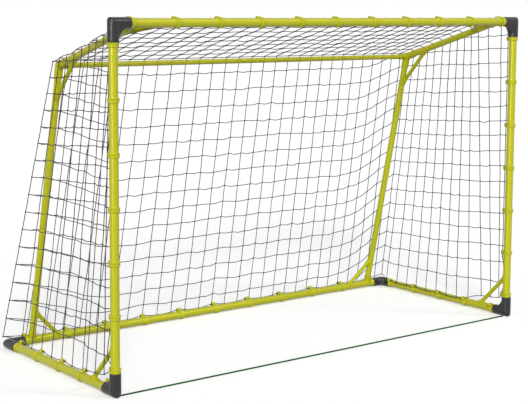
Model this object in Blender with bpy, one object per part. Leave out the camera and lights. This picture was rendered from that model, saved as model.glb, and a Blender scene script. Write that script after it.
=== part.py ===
"""Futsal goal: a dismountable tube frame with moulded corner elbows, net clips and a box net.

Metres, +Z up. The goal is modelled with the post axes on the plane y = 0, x across the mouth and y towards
the back. One empty then moves the whole goal so that the origin is under the middle of its box.
"""

import math

import bmesh
import bpy
from mathutils import Matrix, Vector

# Overall sizes
MOUTH_WIDTH = 3.000
FRAME_HEIGHT = 2.000
BASE_DEPTH = 1.220
ROOF_DEPTH = 0.840
ROOF_DROP = 0.2535

# Tubes: outside diameters and one wall thickness
POST_DIAMETER = 0.050
FRAME_TUBE_DIAMETER = 0.042
REAR_BAR_DIAMETER = 0.032
BRACE_DIAMETER = 0.025
TUBE_WALL = 0.002

# Corner elbows
ELBOW_WALL = 0.0062
ELBOW_CORE = 0.0077
ELBOW_SOCKET_DEPTH = 0.066
ELBOW_CORNER_ROUND = 0.013
ELBOW_WEB_THICKNESS = 0.040
ELBOW_WEB_STEPS = 5

# Rear top corner fittings and saddles
SLEEVE_WALL = 0.0020
FITTING_SLEEVE_WALL = 0.0032
FITTING_REACH = 0.072
FITTING_CORE = 0.024
SADDLE_WALL = 0.0040
SADDLE_SLEEVE = 0.033
SADDLE_FLOOR = 0.0045
SADDLE_TO_CLIP = 0.0012

# Braces: how far along each tube their ends sit from the corner that they stiffen
ROOF_BRACE_REACH = 0.210
REAR_TOP_BRACE_REACH = 0.205
REAR_FOOT_BRACE_REACH = 0.190
FRONT_FOOT_BRACE_REACH = 0.245
SHOE_WALL = 0.0030
SHOE_LENGTH = 0.058
SHOE_SPREAD = math.radians(62)

# Net clips
CLIP_WIDTH = 0.026
CLIP_WALL = 0.006
CLIP_SIDES = 8
CLIP_TO_ELBOW = 0.0005
CLIP_SPACING = 0.2825
POST_CLIPS = 7
HOOK_HEIGHT = 0.023
HOOK_BAR = 0.005
HOOK_WIDTH = 0.018
HOOK_STEM = 0.004
GROUND_HOOK_LIFT = math.radians(45)
CROSSBAR_HOOK_LIFT = math.radians(35)

# Net, border rope and goal line cord
ROPE_DIAMETER = 0.005
ROPE_TAIL = 0.012
ROPE_BITE = 0.0005
ROPE_CLEARANCE = 0.004
NET_CORD = 0.004
NET_CLEARANCE = 0.004
FOLD_CLEARANCE = 0.0050
ROOF_NET_CELLS = (11, 3)
REAR_NET_CELLS = (11, 7)
SIDE_NET_CELLS = (4, 7)
LINE_CORD_DIAMETER = 0.009
LINE_CORD_POINTS = 41

# Shared clearances and facets
GAP = 0.0003
SIDES = 12
BRACE_SIDES = 8
ROPE_SIDES = 6

# Derived sizes
POST_RADIUS = POST_DIAMETER / 2
FRAME_TUBE_RADIUS = FRAME_TUBE_DIAMETER / 2
REAR_BAR_RADIUS = REAR_BAR_DIAMETER / 2
BRACE_RADIUS = BRACE_DIAMETER / 2
ELBOW_RADIUS = POST_RADIUS + GAP + ELBOW_WALL
SOCKET_FLOOR = POST_RADIUS + GAP + ELBOW_CORE
ELBOW_ARM = SOCKET_FLOOR + ELBOW_SOCKET_DEPTH
TUBE_END = SOCKET_FLOOR + GAP
CLIP_RADIUS = POST_RADIUS + CLIP_WALL
HOOK_REACH = POST_RADIUS + HOOK_HEIGHT
CLIP_END = ELBOW_ARM + CLIP_TO_ELBOW + CLIP_WIDTH / 2
SADDLE_RADIUS = FRAME_TUBE_RADIUS + GAP + SLEEVE_WALL
SADDLE_REACH = POST_RADIUS + SADDLE_SLEEVE
BRANCH_START = POST_RADIUS + GAP + SADDLE_FLOOR
POST_X = MOUTH_WIDTH / 2 + POST_RADIUS
SIDE_FRAME_X = POST_X - CLIP_END - CLIP_WIDTH / 2 - SADDLE_TO_CLIP - SADDLE_RADIUS
RAIL_Z = ELBOW_RADIUS
CROSSBAR_Z = FRAME_HEIGHT - ELBOW_RADIUS
FITTING_RADIUS = FRAME_TUBE_RADIUS + GAP + FITTING_SLEEVE_WALL
DIAGONAL = math.sqrt(0.5)
HOOK_SPAN = HOOK_REACH * math.cos(GROUND_HOOK_LIFT) + HOOK_WIDTH / 2 * math.sin(GROUND_HOOK_LIFT)
HOOK_STANDOFF = HOOK_REACH * math.cos(GROUND_HOOK_LIFT) - HOOK_WIDTH / 2 * math.sin(GROUND_HOOK_LIFT)
HOOK_TOP = HOOK_REACH * math.sin(GROUND_HOOK_LIFT) + HOOK_WIDTH / 2 * math.cos(GROUND_HOOK_LIFT)
NET_EDGE = HOOK_TOP + GAP + NET_CORD / 2
POST_NET_EDGE = HOOK_REACH + GAP + NET_CORD / 2
FRAME_SHIFT = Vector((0, (ELBOW_RADIUS - BASE_DEPTH - HOOK_SPAN) / 2, 0))

RIGHT = Vector((1, 0, 0))
BACK = Vector((0, 1, 0))
UP = Vector((0, 0, 1))
SIDES_OF_GOAL = (("left", -1), ("right", 1))


def lifted(level, lift):
    """A direction that leans up from a level one by the angle lift."""
    return level * math.cos(lift) + UP * math.sin(lift)


CROSSBAR_HOOK = lifted(BACK, CROSSBAR_HOOK_LIFT)
REAR_HOOK = lifted(BACK, GROUND_HOOK_LIFT)

CROSSBAR_MID = Vector((0, 0, CROSSBAR_Z))
REAR_BAR_MID = Vector((0, ROOF_DEPTH, CROSSBAR_Z - ROOF_DROP))
REAR_RAIL_MID = Vector((0, BASE_DEPTH, RAIL_Z))
ROOF_SLOPE = (REAR_BAR_MID - CROSSBAR_MID).normalized()
STANCHION_SLOPE = (REAR_RAIL_MID - REAR_BAR_MID).normalized()


def clear_scene():
    for old in list(bpy.data.objects):
        bpy.data.objects.remove(old, do_unlink=True)


def coating(name, color, roughness, metallic=0.0):
    material = bpy.data.materials.new(name)
    material.use_nodes = True
    shader = material.node_tree.nodes["Principled BSDF"]
    shader.inputs["Base Color"].default_value = (*color, 1)
    shader.inputs["Roughness"].default_value = roughness
    shader.inputs["Metallic"].default_value = metallic
    material.diffuse_color = (*color, 1)
    return material


def yellow_coating():
    return coating("yellow_coating", (0.54, 0.54, 0.015), 0.34)


def yellow_moulding():
    return coating("yellow_moulding", (0.56, 0.56, 0.016), 0.38)


def black_moulding():
    return coating("black_moulding", (0.045, 0.045, 0.048), 0.42)


def net_cord():
    return coating("net_cord", (0.06, 0.06, 0.065), 0.75)


def line_cord():
    return coating("line_cord", (0.02, 0.12, 0.04), 0.7)


def place(name, shape, material, matrix=None, smooth=False):
    """A piece of the goal: shape is a bmesh or a mesh, and matrix places it in the goal's own axes."""
    if isinstance(shape, bmesh.types.BMesh):
        bmesh.ops.recalc_face_normals(shape, faces=shape.faces)
        mesh = bpy.data.meshes.new(name)
        shape.to_mesh(mesh)
        shape.free()
    else:
        mesh = shape
    if smooth:
        mesh.shade_smooth()
        mesh.set_sharp_from_angle(angle=math.radians(35))
    if not mesh.materials:
        mesh.materials.append(material)
    piece = bpy.data.objects.new(name, mesh)
    bpy.context.collection.objects.link(piece)
    piece.parent = bpy.data.objects["goal_frame"]
    piece.matrix_local = matrix or Matrix()
    return piece


def tool(name, shape, matrix=None):
    """A helper shape for a Boolean, left out of the goal itself."""
    helper = place(name, shape, bpy.data.materials["black_moulding"], matrix)
    helper.hide_render = True
    helper.display_type = "WIRE"
    return helper


def combine(piece, helper, operation):
    step = piece.modifiers.new(f"{operation.lower()}_{helper.name}", "BOOLEAN")
    step.operation = operation
    step.object = helper


def basis(origin, x_axis, y_axis):
    """Places a shape with its own x and y axes along the two given directions."""
    x_axis = Vector(x_axis).normalized()
    y_axis = Vector(y_axis).normalized()
    turn = Matrix((x_axis, y_axis, x_axis.cross(y_axis))).transposed().to_4x4()
    return Matrix.Translation(origin) @ turn


def along(start, direction):
    """Places a shape with its own z axis along direction and two of its facets level or square to x."""
    z_axis = Vector(direction).normalized()
    x_axis = (RIGHT if abs(z_axis.x) < 0.5 else UP).cross(z_axis)
    return basis(start, x_axis, z_axis.cross(x_axis))


def facet_turn(sides):
    return Matrix.Rotation(math.pi / sides, 4, "Z")


def facet_radius(radius, sides=SIDES):
    """The corner radius of a many-sided prism whose flats lie at radius."""
    return radius / math.cos(math.pi / sides)


def extrude_up(bm, length):
    made = bmesh.ops.extrude_face_region(bm, geom=bm.faces[:])
    moved = [part for part in made["geom"] if isinstance(part, bmesh.types.BMVert)]
    bmesh.ops.translate(bm, verts=moved, vec=(0, 0, length))


def ring_loop(bm, radius, sides):
    made = bmesh.ops.create_circle(
        bm, cap_ends=False, segments=sides, radius=facet_radius(radius, sides), matrix=facet_turn(sides)
    )
    return {edge for vert in made["verts"] for edge in vert.link_edges}


def rod(radius, start, end, sides=SIDES):
    """A solid prism on the z axis."""
    bm = bmesh.new()
    corner = facet_radius(radius, sides)
    middle = Matrix.Translation((0, 0, (start + end) / 2)) @ facet_turn(sides)
    bmesh.ops.create_cone(
        bm, cap_ends=True, segments=sides, radius1=corner, radius2=corner, depth=end - start, matrix=middle
    )
    return bm


def pipe(inner, outer, length):
    bm = bmesh.new()
    edges = ring_loop(bm, outer, SIDES) | ring_loop(bm, inner, SIDES)
    bmesh.ops.bridge_loops(bm, edges=list(edges))
    extrude_up(bm, length)
    return bm


def plate(thickness, *outlines):
    """A flat plate on the xy plane, centred on it, from an outline and any holes in it."""
    bm = bmesh.new()
    edges = []
    for outline in outlines:
        verts = [bm.verts.new((*point, -thickness / 2)) for point in outline]
        edges += [bm.edges.new((verts[i - 1], verts[i])) for i in range(len(verts))]
    bmesh.ops.triangle_fill(bm, use_beauty=True, edges=edges)
    extrude_up(bm, thickness)
    return bm


def arc(centre, radius, start, end, steps):
    angles = [start + (end - start) * step / steps for step in range(steps + 1)]
    return [(centre[0] + radius * math.cos(a), centre[1] + radius * math.sin(a)) for a in angles]


def frame_tube(name, start, end, diameter):
    """A round hollow tube from start to end, both points on its axis."""
    radius = diameter / 2
    run = Vector(end) - Vector(start)
    shape = pipe(radius - TUBE_WALL, radius, run.length)
    return place(name, shape, bpy.data.materials["yellow_coating"], along(start, run), smooth=True)


def build_tubes():
    for side, sign in SIDES_OF_GOAL:
        foot = Vector((sign * POST_X, 0, RAIL_Z))
        head = Vector((sign * POST_X, 0, CROSSBAR_Z))
        heel = Vector((sign * POST_X, BASE_DEPTH, RAIL_Z))
        inset = RIGHT * sign * SIDE_FRAME_X
        frame_tube(f"{side}_post", foot + UP * TUBE_END, head - UP * TUBE_END, POST_DIAMETER)
        frame_tube(f"{side}_ground_rail", foot + BACK * TUBE_END, heel - BACK * TUBE_END, POST_DIAMETER)
        frame_tube(
            f"{side}_roof_rail",
            CROSSBAR_MID + inset + ROOF_SLOPE * BRANCH_START,
            REAR_BAR_MID + inset - ROOF_SLOPE * (FITTING_CORE + GAP),
            FRAME_TUBE_DIAMETER,
        )
        frame_tube(
            f"{side}_stanchion",
            REAR_RAIL_MID + inset - STANCHION_SLOPE * BRANCH_START,
            REAR_BAR_MID + inset + STANCHION_SLOPE * (FITTING_CORE + GAP),
            FRAME_TUBE_DIAMETER,
        )
    reach = RIGHT * (POST_X - TUBE_END)
    frame_tube("crossbar", CROSSBAR_MID - reach, CROSSBAR_MID + reach, POST_DIAMETER)
    frame_tube("rear_ground_rail", REAR_RAIL_MID - reach, REAR_RAIL_MID + reach, POST_DIAMETER)
    bar_reach = RIGHT * (SIDE_FRAME_X - FRAME_TUBE_RADIUS - GAP - SADDLE_FLOOR)
    frame_tube("rear_top_bar", REAR_BAR_MID - bar_reach, REAR_BAR_MID + bar_reach, REAR_BAR_DIAMETER)


def elbow_body():
    """Two round arms along +x and +y that meet in a mitre, with the outer corner rounded."""
    bm = rod(ELBOW_RADIUS, -2 * ELBOW_RADIUS, ELBOW_ARM)
    bmesh.ops.transform(bm, verts=bm.verts, matrix=along((0, 0, 0), RIGHT))
    parts = bm.verts[:] + bm.edges[:] + bm.faces[:]
    bmesh.ops.bisect_plane(bm, geom=parts, plane_co=(0, 0, 0), plane_no=(-1, 1, 0), clear_outer=True)
    other_arm = bmesh.ops.duplicate(bm, geom=bm.verts[:] + bm.edges[:] + bm.faces[:])["geom"]
    verts = [part for part in other_arm if isinstance(part, bmesh.types.BMVert)]
    swap = Matrix(((0, 1, 0, 0), (1, 0, 0, 0), (0, 0, 1, 0), (0, 0, 0, 1)))
    bmesh.ops.transform(bm, verts=verts, matrix=swap)
    bmesh.ops.remove_doubles(bm, verts=bm.verts, dist=1e-6)
    bmesh.ops.recalc_face_normals(bm, faces=bm.faces)
    bend = [e for e in bm.edges if all(abs(v.co.x - v.co.y) < 1e-6 and v.co.x < 0 for v in e.verts)]
    bmesh.ops.bevel(
        bm,
        geom=bend,
        offset=ELBOW_CORNER_ROUND,
        offset_type="OFFSET",
        segments=2,
        profile=0.5,
        affect="EDGES",
        material=-1,
        clamp_overlap=True,
    )
    return bm


def elbow_web():
    """The curved gusset that fills the inner corner between the arms."""
    buried = ELBOW_RADIUS * 0.7
    rim = ELBOW_ARM - 0.002
    curve = arc((rim, rim), rim - buried, -math.pi / 2, -math.pi, ELBOW_WEB_STEPS)
    return plate(ELBOW_WEB_THICKNESS, [(buried, buried), *curve])


def elbow(name, corner, first_arm, second_arm):
    matrix = basis(corner, first_arm, second_arm)
    piece = place(name, elbow_body(), bpy.data.materials["black_moulding"], matrix, smooth=True)
    combine(piece, tool(f"{name}_web", elbow_web(), matrix), "UNION")
    for number, arm in enumerate((first_arm, second_arm)):
        bore = rod(POST_RADIUS + GAP, SOCKET_FLOOR, ELBOW_ARM + 0.01)
        combine(piece, tool(f"{name}_socket_{number}", bore, along(corner, arm)), "DIFFERENCE")


def build_elbows():
    for side, sign in SIDES_OF_GOAL:
        inward = RIGHT * -sign
        post = RIGHT * sign * POST_X
        elbow(f"{side}_top_elbow", post + UP * CROSSBAR_Z, inward, -UP)
        elbow(f"{side}_front_elbow", post + UP * RAIL_Z, BACK, UP)
        elbow(f"{side}_rear_elbow", post + BACK * BASE_DEPTH + UP * RAIL_Z, inward, -BACK)


def rear_fitting(side, sign):
    """A knuckle with three sleeves: roof rail, stanchion and rear top bar."""
    corner = REAR_BAR_MID + RIGHT * sign * SIDE_FRAME_X
    name = f"{side}_rear_fitting"
    knuckle = bmesh.new()
    bmesh.ops.create_icosphere(knuckle, subdivisions=2, radius=FITTING_RADIUS)
    piece = place(name, knuckle, bpy.data.materials["yellow_coating"], Matrix.Translation(corner), smooth=True)
    bar_sleeve = REAR_BAR_RADIUS + GAP + FITTING_SLEEVE_WALL
    bar_floor = FRAME_TUBE_RADIUS + SADDLE_FLOOR
    arms = (
        ("roof", -ROOF_SLOPE, FRAME_TUBE_RADIUS, FITTING_RADIUS, FITTING_CORE),
        ("stanchion", STANCHION_SLOPE, FRAME_TUBE_RADIUS, FITTING_RADIUS, FITTING_CORE),
        ("bar", RIGHT * -sign, REAR_BAR_RADIUS, bar_sleeve, bar_floor),
    )
    for arm, direction, bore, sleeve, floor in arms:
        outer = rod(sleeve, 0.002, FITTING_REACH)
        combine(piece, tool(f"{name}_{arm}_sleeve", outer, along(corner, direction)), "UNION")
    for arm, direction, bore, sleeve, floor in arms:
        inner = rod(bore + GAP, floor, FITTING_REACH + 0.01)
        combine(piece, tool(f"{name}_{arm}_bore", inner, along(corner, direction)), "DIFFERENCE")


def sector(radius, spread, depth, length, steps=6):
    """An extruded round back, centred on its own +y: the stock that a saddle or a shoe is cut from."""
    back = arc((0, 0), radius, math.pi / 2 - spread, math.pi / 2 + spread, steps)
    floor = [(-depth * math.tan(spread), depth), (depth * math.tan(spread), depth)]
    return plate(length, back + floor)


def saddle(name, middle, branch):
    """Half a ring that hugs a large tube, with a sleeve for the tube that branches off it."""
    hug = POST_RADIUS + GAP + SADDLE_WALL
    yellow = bpy.data.materials["yellow_coating"]
    stock = rod(SADDLE_RADIUS, POST_RADIUS * 0.8, SADDLE_REACH)
    piece = place(name, stock, yellow, along(middle, branch), smooth=True)
    band = sector(hug, math.radians(84), 0.001, 2 * SADDLE_RADIUS)
    band_matrix = basis(middle, Vector(branch).cross(RIGHT), branch)
    combine(piece, tool(f"{name}_band", band, band_matrix), "UNION")
    tube = rod(POST_RADIUS + GAP, -2 * SADDLE_RADIUS, 2 * SADDLE_RADIUS)
    combine(piece, tool(f"{name}_tube", tube, along(middle, RIGHT)), "DIFFERENCE")
    bore = rod(FRAME_TUBE_RADIUS + GAP, BRANCH_START - GAP, SADDLE_REACH + 0.01)
    combine(piece, tool(f"{name}_bore", bore, along(middle, branch)), "DIFFERENCE")


def build_fittings():
    for side, sign in SIDES_OF_GOAL:
        inset = RIGHT * sign * SIDE_FRAME_X
        rear_fitting(side, sign)
        saddle(f"{side}_roof_saddle", CROSSBAR_MID + inset, ROOF_SLOPE)
        saddle(f"{side}_foot_saddle", REAR_RAIL_MID + inset, -STANCHION_SLOPE)


def brace(name, corner, first, second, reach):
    """A tube across a corner. first and second are each a direction from the corner and a tube radius."""
    ends = [corner + first[0] * reach, corner + second[0] * reach]
    run = ends[1] - ends[0]
    stock = rod(BRACE_RADIUS, 0, run.length, BRACE_SIDES)
    yellow = bpy.data.materials["yellow_coating"]
    piece = place(name, stock, yellow, along(ends[0], run), smooth=True)
    seats = list(zip(ends, (first, second), (run, -run)))
    for number, (end, (direction, radius), inward) in enumerate(seats):
        facing = (inward - direction * inward.dot(direction)).normalized()
        shoe = sector(radius + GAP + SHOE_WALL, SHOE_SPREAD, radius * 0.3, SHOE_LENGTH, steps=5)
        shoe_middle = end + direction * direction.dot(inward) * radius / inward.dot(facing)
        shoe_matrix = basis(shoe_middle, facing.cross(direction), facing)
        combine(piece, tool(f"{name}_shoe_{number}", shoe, shoe_matrix), "UNION")
    for number, (end, (direction, radius), inward) in enumerate(seats):
        tube = rod(radius + GAP, -2 * SHOE_LENGTH, 2 * SHOE_LENGTH)
        combine(piece, tool(f"{name}_tube_{number}", tube, along(end, direction)), "DIFFERENCE")
    bore = rod(BRACE_RADIUS - TUBE_WALL, -0.01, run.length + 0.01, BRACE_SIDES)
    combine(piece, tool(f"{name}_bore", bore, along(ends[0], run)), "DIFFERENCE")


def build_braces():
    for side, sign in SIDES_OF_GOAL:
        inward = RIGHT * -sign
        inset = RIGHT * sign * SIDE_FRAME_X
        roof_rail = (ROOF_SLOPE, FRAME_TUBE_RADIUS)
        stanchion = (STANCHION_SLOPE, FRAME_TUBE_RADIUS)
        brace(
            f"{side}_roof_brace",
            CROSSBAR_MID + inset,
            (inward, POST_RADIUS),
            roof_rail,
            ROOF_BRACE_REACH,
        )
        brace(
            f"{side}_rear_top_brace",
            REAR_BAR_MID + inset,
            (-ROOF_SLOPE, FRAME_TUBE_RADIUS),
            stanchion,
            REAR_TOP_BRACE_REACH,
        )
        brace(
            f"{side}_rear_foot_brace",
            REAR_RAIL_MID + inset,
            (inward, POST_RADIUS),
            (-STANCHION_SLOPE, FRAME_TUBE_RADIUS),
            REAR_FOOT_BRACE_REACH,
        )
        brace(
            f"{side}_front_foot_brace",
            Vector((sign * POST_X, 0, RAIL_Z)),
            (BACK, POST_RADIUS),
            (UP, POST_RADIUS),
            FRONT_FOOT_BRACE_REACH,
        )


def clip_shape():
    """A ring that slides on the tube, with an L-shaped hook on its +y side for the border rope.

    The hook stands on a corner of the ring, so that a clip turned by 45 degrees lies flat on the floor.
    """
    outer = facet_radius(CLIP_RADIUS)
    facet = 2 * math.pi / SIDES
    ring = arc((0, 0), outer, math.pi / 2 + facet, math.pi / 2 + 2 * math.pi, SIDES - 1)
    half = HOOK_WIDTH / 2
    stem = HOOK_STEM - half
    under = HOOK_REACH - HOOK_BAR
    hook = [
        (stem, outer - abs(stem) * math.tan(facet / 2)),
        (stem, under),
        (half, under),
        (half, HOOK_REACH),
        (-half, HOOK_REACH),
        (-half, outer - half * math.tan(facet / 2)),
    ]
    bore_radius = facet_radius(facet_radius(POST_RADIUS) + GAP, CLIP_SIDES)
    step = 2 * math.pi / CLIP_SIDES
    bore = arc((0, 0), bore_radius, step / 2, step / 2 + step * (CLIP_SIDES - 1), CLIP_SIDES - 1)
    return plate(CLIP_WIDTH, ring + hook, bore)


def clip_places(start, end, count):
    return [start + (end - start) * number / (count - 1) for number in range(count)]


def rail_clip_count(length):
    return round(length / CLIP_SPACING) + 1


def post_clips(side, sign, mesh):
    """Separate clips on a post, with the border rope lying free in their hooks."""
    foot = Vector((sign * POST_X, 0, RAIL_Z + CLIP_END))
    head = Vector((sign * POST_X, 0, CROSSBAR_Z - CLIP_END))
    for number, position in enumerate(clip_places(foot, head, POST_CLIPS), 1):
        matrix = basis(position, RIGHT * sign, BACK)
        place(f"{side}_post_clip_{number}", mesh, bpy.data.materials["yellow_moulding"], matrix)
    cord(f"{side}_post_rope", post_rope_path(sign, foot.z, head.z), ROPE_DIAMETER, "net_cord")


def post_rope_path(sign, foot, head):
    """Straight through the hooks, but out and around the brace between the two lowest clips."""
    radius = ROPE_DIAMETER / 2
    brace_corner = facet_radius(BRACE_RADIUS, BRACE_SIDES)
    behind = HOOK_REACH - HOOK_BAR - GAP - radius
    in_hook = Vector((sign * (POST_X + HOOK_STEM - HOOK_WIDTH / 2 + GAP + radius), behind, 0))
    beside = Vector((sign * (POST_X + brace_corner + radius + ROPE_CLEARANCE), behind, 0))
    crossing = RAIL_Z + FRONT_FOOT_BRACE_REACH - behind
    half = (brace_corner + radius) / DIAGONAL + ROPE_CLEARANCE
    pitch = (head - foot) / (POST_CLIPS - 1)
    leave_clip = CLIP_WIDTH / 2 + ROPE_CLEARANCE
    return [
        in_hook + UP * (foot - ROPE_TAIL),
        in_hook + UP * (foot + leave_clip),
        beside + UP * (crossing - half),
        beside + UP * (crossing + half),
        in_hook + UP * (foot + pitch - leave_clip),
        in_hook + UP * (head + ROPE_TAIL),
    ]


def clip_row(name, start, end, hook, open_side, mesh):
    """Clips on one rail, joined by the border rope. Their hooks open away from the net's pull."""
    clips = bmesh.new()
    for position in clip_places(start, end, rail_clip_count((end - start).length)):
        before = len(clips.verts)
        clips.from_mesh(mesh)
        clips.verts.ensure_lookup_table()
        bmesh.ops.transform(clips, verts=clips.verts[before:], matrix=basis(position, open_side, hook))
    radius = ROPE_DIAMETER / 2
    offset = hook * (HOOK_REACH - HOOK_BAR + ROPE_BITE - radius)
    tail = (end - start).normalized() * ROPE_TAIL
    stock = rod(radius, 0, (end - start).length + 2 * ROPE_TAIL, ROPE_SIDES)
    matrix = along(start + offset - tail, end - start)
    rope = place(name, stock, bpy.data.materials["yellow_moulding"], matrix)
    combine(rope, tool(f"{name}_rings", clips), "UNION")


def build_clips():
    shape = clip_shape()
    bmesh.ops.recalc_face_normals(shape, faces=shape.faces)
    mesh = bpy.data.meshes.new("net_clip")
    shape.to_mesh(mesh)
    shape.free()
    mesh.materials.append(bpy.data.materials["yellow_moulding"])
    for side, sign in SIDES_OF_GOAL:
        inward = RIGHT * -sign
        post_clips(side, sign, mesh)
        rail = Vector((sign * POST_X, 0, RAIL_Z))
        start = rail + BACK * CLIP_END
        end = rail + BACK * (BASE_DEPTH - CLIP_END)
        hook = lifted(inward, GROUND_HOOK_LIFT)
        clip_row(f"{side}_rail_clips", start, end, hook, BACK.cross(hook) * -sign, mesh)
    reach = RIGHT * (POST_X - CLIP_END)
    rows = (
        ("crossbar_clips", CROSSBAR_MID, CROSSBAR_HOOK, RIGHT.cross(CROSSBAR_HOOK)),
        ("rear_rail_clips", REAR_RAIL_MID, REAR_HOOK, -RIGHT.cross(REAR_HOOK)),
    )
    for name, middle, hook, open_side in rows:
        clip_row(name, middle - reach, middle + reach, hook, open_side, mesh)


def blend(first, second, share):
    return first + (second - first) * share


def net_side(name, cells, corner_at):
    """A flat net with square cords. corner_at gives a point from its share along and across the net."""
    bm = bmesh.new()
    bmesh.ops.create_grid(bm, x_segments=cells[0], y_segments=cells[1], size=1)
    for vert in bm.verts:
        vert.co = corner_at((vert.co.x + 1) / 2, (vert.co.y + 1) / 2)
    piece = place(name, bm, bpy.data.materials["net_cord"])
    cords = piece.modifiers.new("cords", "WIREFRAME")
    cords.thickness = NET_CORD
    cords.use_even_offset = True
    cords.use_boundary = True
    cords.use_replace = True


def fold_lines():
    """Where the net turns down behind the rear top bar and over each roof rail."""
    roof_up = RIGHT.cross(ROOF_SLOPE)
    rear_out = RIGHT.cross(STANCHION_SLOPE)
    lift = facet_radius(FITTING_RADIUS) + NET_CLEARANCE
    fold = REAR_BAR_MID + ROOF_SLOPE * lift * 0.5 + roof_up * lift
    return fold, roof_up, rear_out, SIDE_FRAME_X + lift


def build_net():
    fold, roof_up, rear_out, fold_x = fold_lines()
    hook_tip = CROSSBAR_HOOK * HOOK_REACH - RIGHT.cross(CROSSBAR_HOOK) * HOOK_WIDTH / 2
    front = CROSSBAR_MID + BACK * (hook_tip.y + NET_CLEARANCE) + UP * CROSSBAR_HOOK.z * HOOK_REACH
    roof_end = fold - (fold - front).normalized() * FOLD_CLEARANCE
    ground = REAR_RAIL_MID + BACK * HOOK_STANDOFF + UP * NET_EDGE
    rear_top = fold + (ground - fold).normalized() * FOLD_CLEARANCE
    ground_x = POST_X + HOOK_STANDOFF
    roof_x = fold_x - FOLD_CLEARANCE

    def roof(across, along_y):
        return blend(front, roof_end, along_y) + RIGHT * roof_x * (2 * across - 1)

    def rear(across, up):
        half = blend(ground_x, fold_x, up) - FOLD_CLEARANCE
        return blend(ground, rear_top, up) + RIGHT * half * (2 * across - 1)

    net_side("roof_net", ROOF_NET_CELLS, roof)
    net_side("rear_net", REAR_NET_CELLS, rear)
    for side, sign in SIDES_OF_GOAL:
        net_side(f"{side}_net", SIDE_NET_CELLS, side_net_shape(sign, fold_x, ground_x, front, fold, ground))


def side_net_shape(sign, fold_x, ground_x, front, fold, ground):
    """The side net: its front edge follows the post and turns in to the roof net at the very top."""
    rows = SIDE_NET_CELLS[1]
    low = ground.z
    row_height = (front.z - low) / rows
    brace_top = RAIL_Z + FRONT_FOOT_BRACE_REACH + SHOE_LENGTH
    beside_brace = facet_radius(BRACE_RADIUS, BRACE_SIDES) + NET_CORD / 2 + NET_CLEARANCE
    post_edge = Vector((sign * POST_X, POST_NET_EDGE, 0))
    top_front = Vector((sign * fold_x, front.y, front.z))
    top_rear = Vector((sign * fold_x, fold.y, fold.z))
    low_front = Vector((sign * ground_x, POST_NET_EDGE, low))
    low_rear = Vector((sign * ground_x, ground.y, low))

    def shape(along_y, up):
        row = round(up * rows)
        height = low + row * row_height
        edge = post_edge + UP * height
        if height - row_height < brace_top:
            edge += RIGHT * sign * beside_brace
        if row == 0:
            edge = low_front
        if row == rows:
            edge = top_front
        return blend(edge, blend(low_rear, top_rear, up), along_y)

    return shape


def cord(name, path, diameter, material):
    """A round cord of eight sides through the points of path."""
    curve = bpy.data.curves.new(name, "CURVE")
    curve.dimensions = "3D"
    curve.bevel_depth = diameter / 2
    curve.bevel_resolution = 2
    curve.use_fill_caps = True
    spline = curve.splines.new("POLY")
    spline.points.add(len(path) - 1)
    for point, place_on_path in zip(spline.points, path):
        point.co = (*place_on_path, 1)
    curve.materials.append(bpy.data.materials[material])
    piece = bpy.data.objects.new(name, curve)
    bpy.context.collection.objects.link(piece)
    piece.parent = bpy.data.objects["goal_frame"]


def build_line_cord():
    """A cord drawn tight on the floor between the undersides of the two front elbows."""
    radius = LINE_CORD_DIAMETER / 2
    height = radius + GAP
    facet = ELBOW_RADIUS * math.tan(math.pi / SIDES)
    clear = facet + (height + radius) / math.tan(2 * math.pi / SIDES) + GAP
    reach = POST_X - clear - radius
    shares = [number / (LINE_CORD_POINTS - 1) for number in range(LINE_CORD_POINTS)]
    path = [Vector((reach * (2 * share - 1), 0, height)) for share in shares]
    cord("goal_line_cord", path, LINE_CORD_DIAMETER, "line_cord")


def main():
    clear_scene()
    for material in (yellow_coating, yellow_moulding, black_moulding, net_cord, line_cord):
        material()
    goal_frame = bpy.data.objects.new("goal_frame", None)
    goal_frame.location = FRAME_SHIFT
    bpy.context.collection.objects.link(goal_frame)
    build_tubes()
    build_elbows()
    build_fittings()
    build_braces()
    build_clips()
    build_net()
    build_line_cord()


main()
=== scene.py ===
"""The looks of a free-standing futsal goal: tubes, elbows, fittings, braces, clips, ropes and net."""

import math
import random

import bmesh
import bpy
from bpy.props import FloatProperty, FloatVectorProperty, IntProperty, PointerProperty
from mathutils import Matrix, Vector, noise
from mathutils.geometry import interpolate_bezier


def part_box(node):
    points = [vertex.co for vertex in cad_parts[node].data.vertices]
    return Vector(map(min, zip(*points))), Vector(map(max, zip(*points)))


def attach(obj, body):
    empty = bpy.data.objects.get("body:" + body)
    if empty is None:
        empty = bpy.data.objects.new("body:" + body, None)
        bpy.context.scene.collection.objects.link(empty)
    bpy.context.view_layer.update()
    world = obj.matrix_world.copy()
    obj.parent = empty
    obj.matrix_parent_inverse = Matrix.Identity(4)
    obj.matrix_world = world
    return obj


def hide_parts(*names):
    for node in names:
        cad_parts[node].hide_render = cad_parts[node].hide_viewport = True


bl_info = {
    "name": "Futsal Goal",
    "version": (1, 0, 0),
    "blender": (4, 5, 0),
    "location": "View3D > Sidebar > Goal",
    "description": "Builds the tubes, mouldings, clips, ropes and net of a free-standing futsal goal",
    "category": "Object",
}

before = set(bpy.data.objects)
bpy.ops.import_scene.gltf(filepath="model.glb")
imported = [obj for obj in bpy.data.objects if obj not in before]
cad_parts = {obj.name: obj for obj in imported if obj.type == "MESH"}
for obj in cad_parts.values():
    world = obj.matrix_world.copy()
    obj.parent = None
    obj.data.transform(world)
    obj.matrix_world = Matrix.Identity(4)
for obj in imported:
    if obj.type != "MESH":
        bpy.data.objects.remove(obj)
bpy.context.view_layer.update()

RIGHT = Vector((1, 0, 0))
BACK = Vector((0, 1, 0))
UP = Vector((0, 0, 1))
SIDES_OF_GOAL = (("left", -1), ("right", 1))


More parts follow.
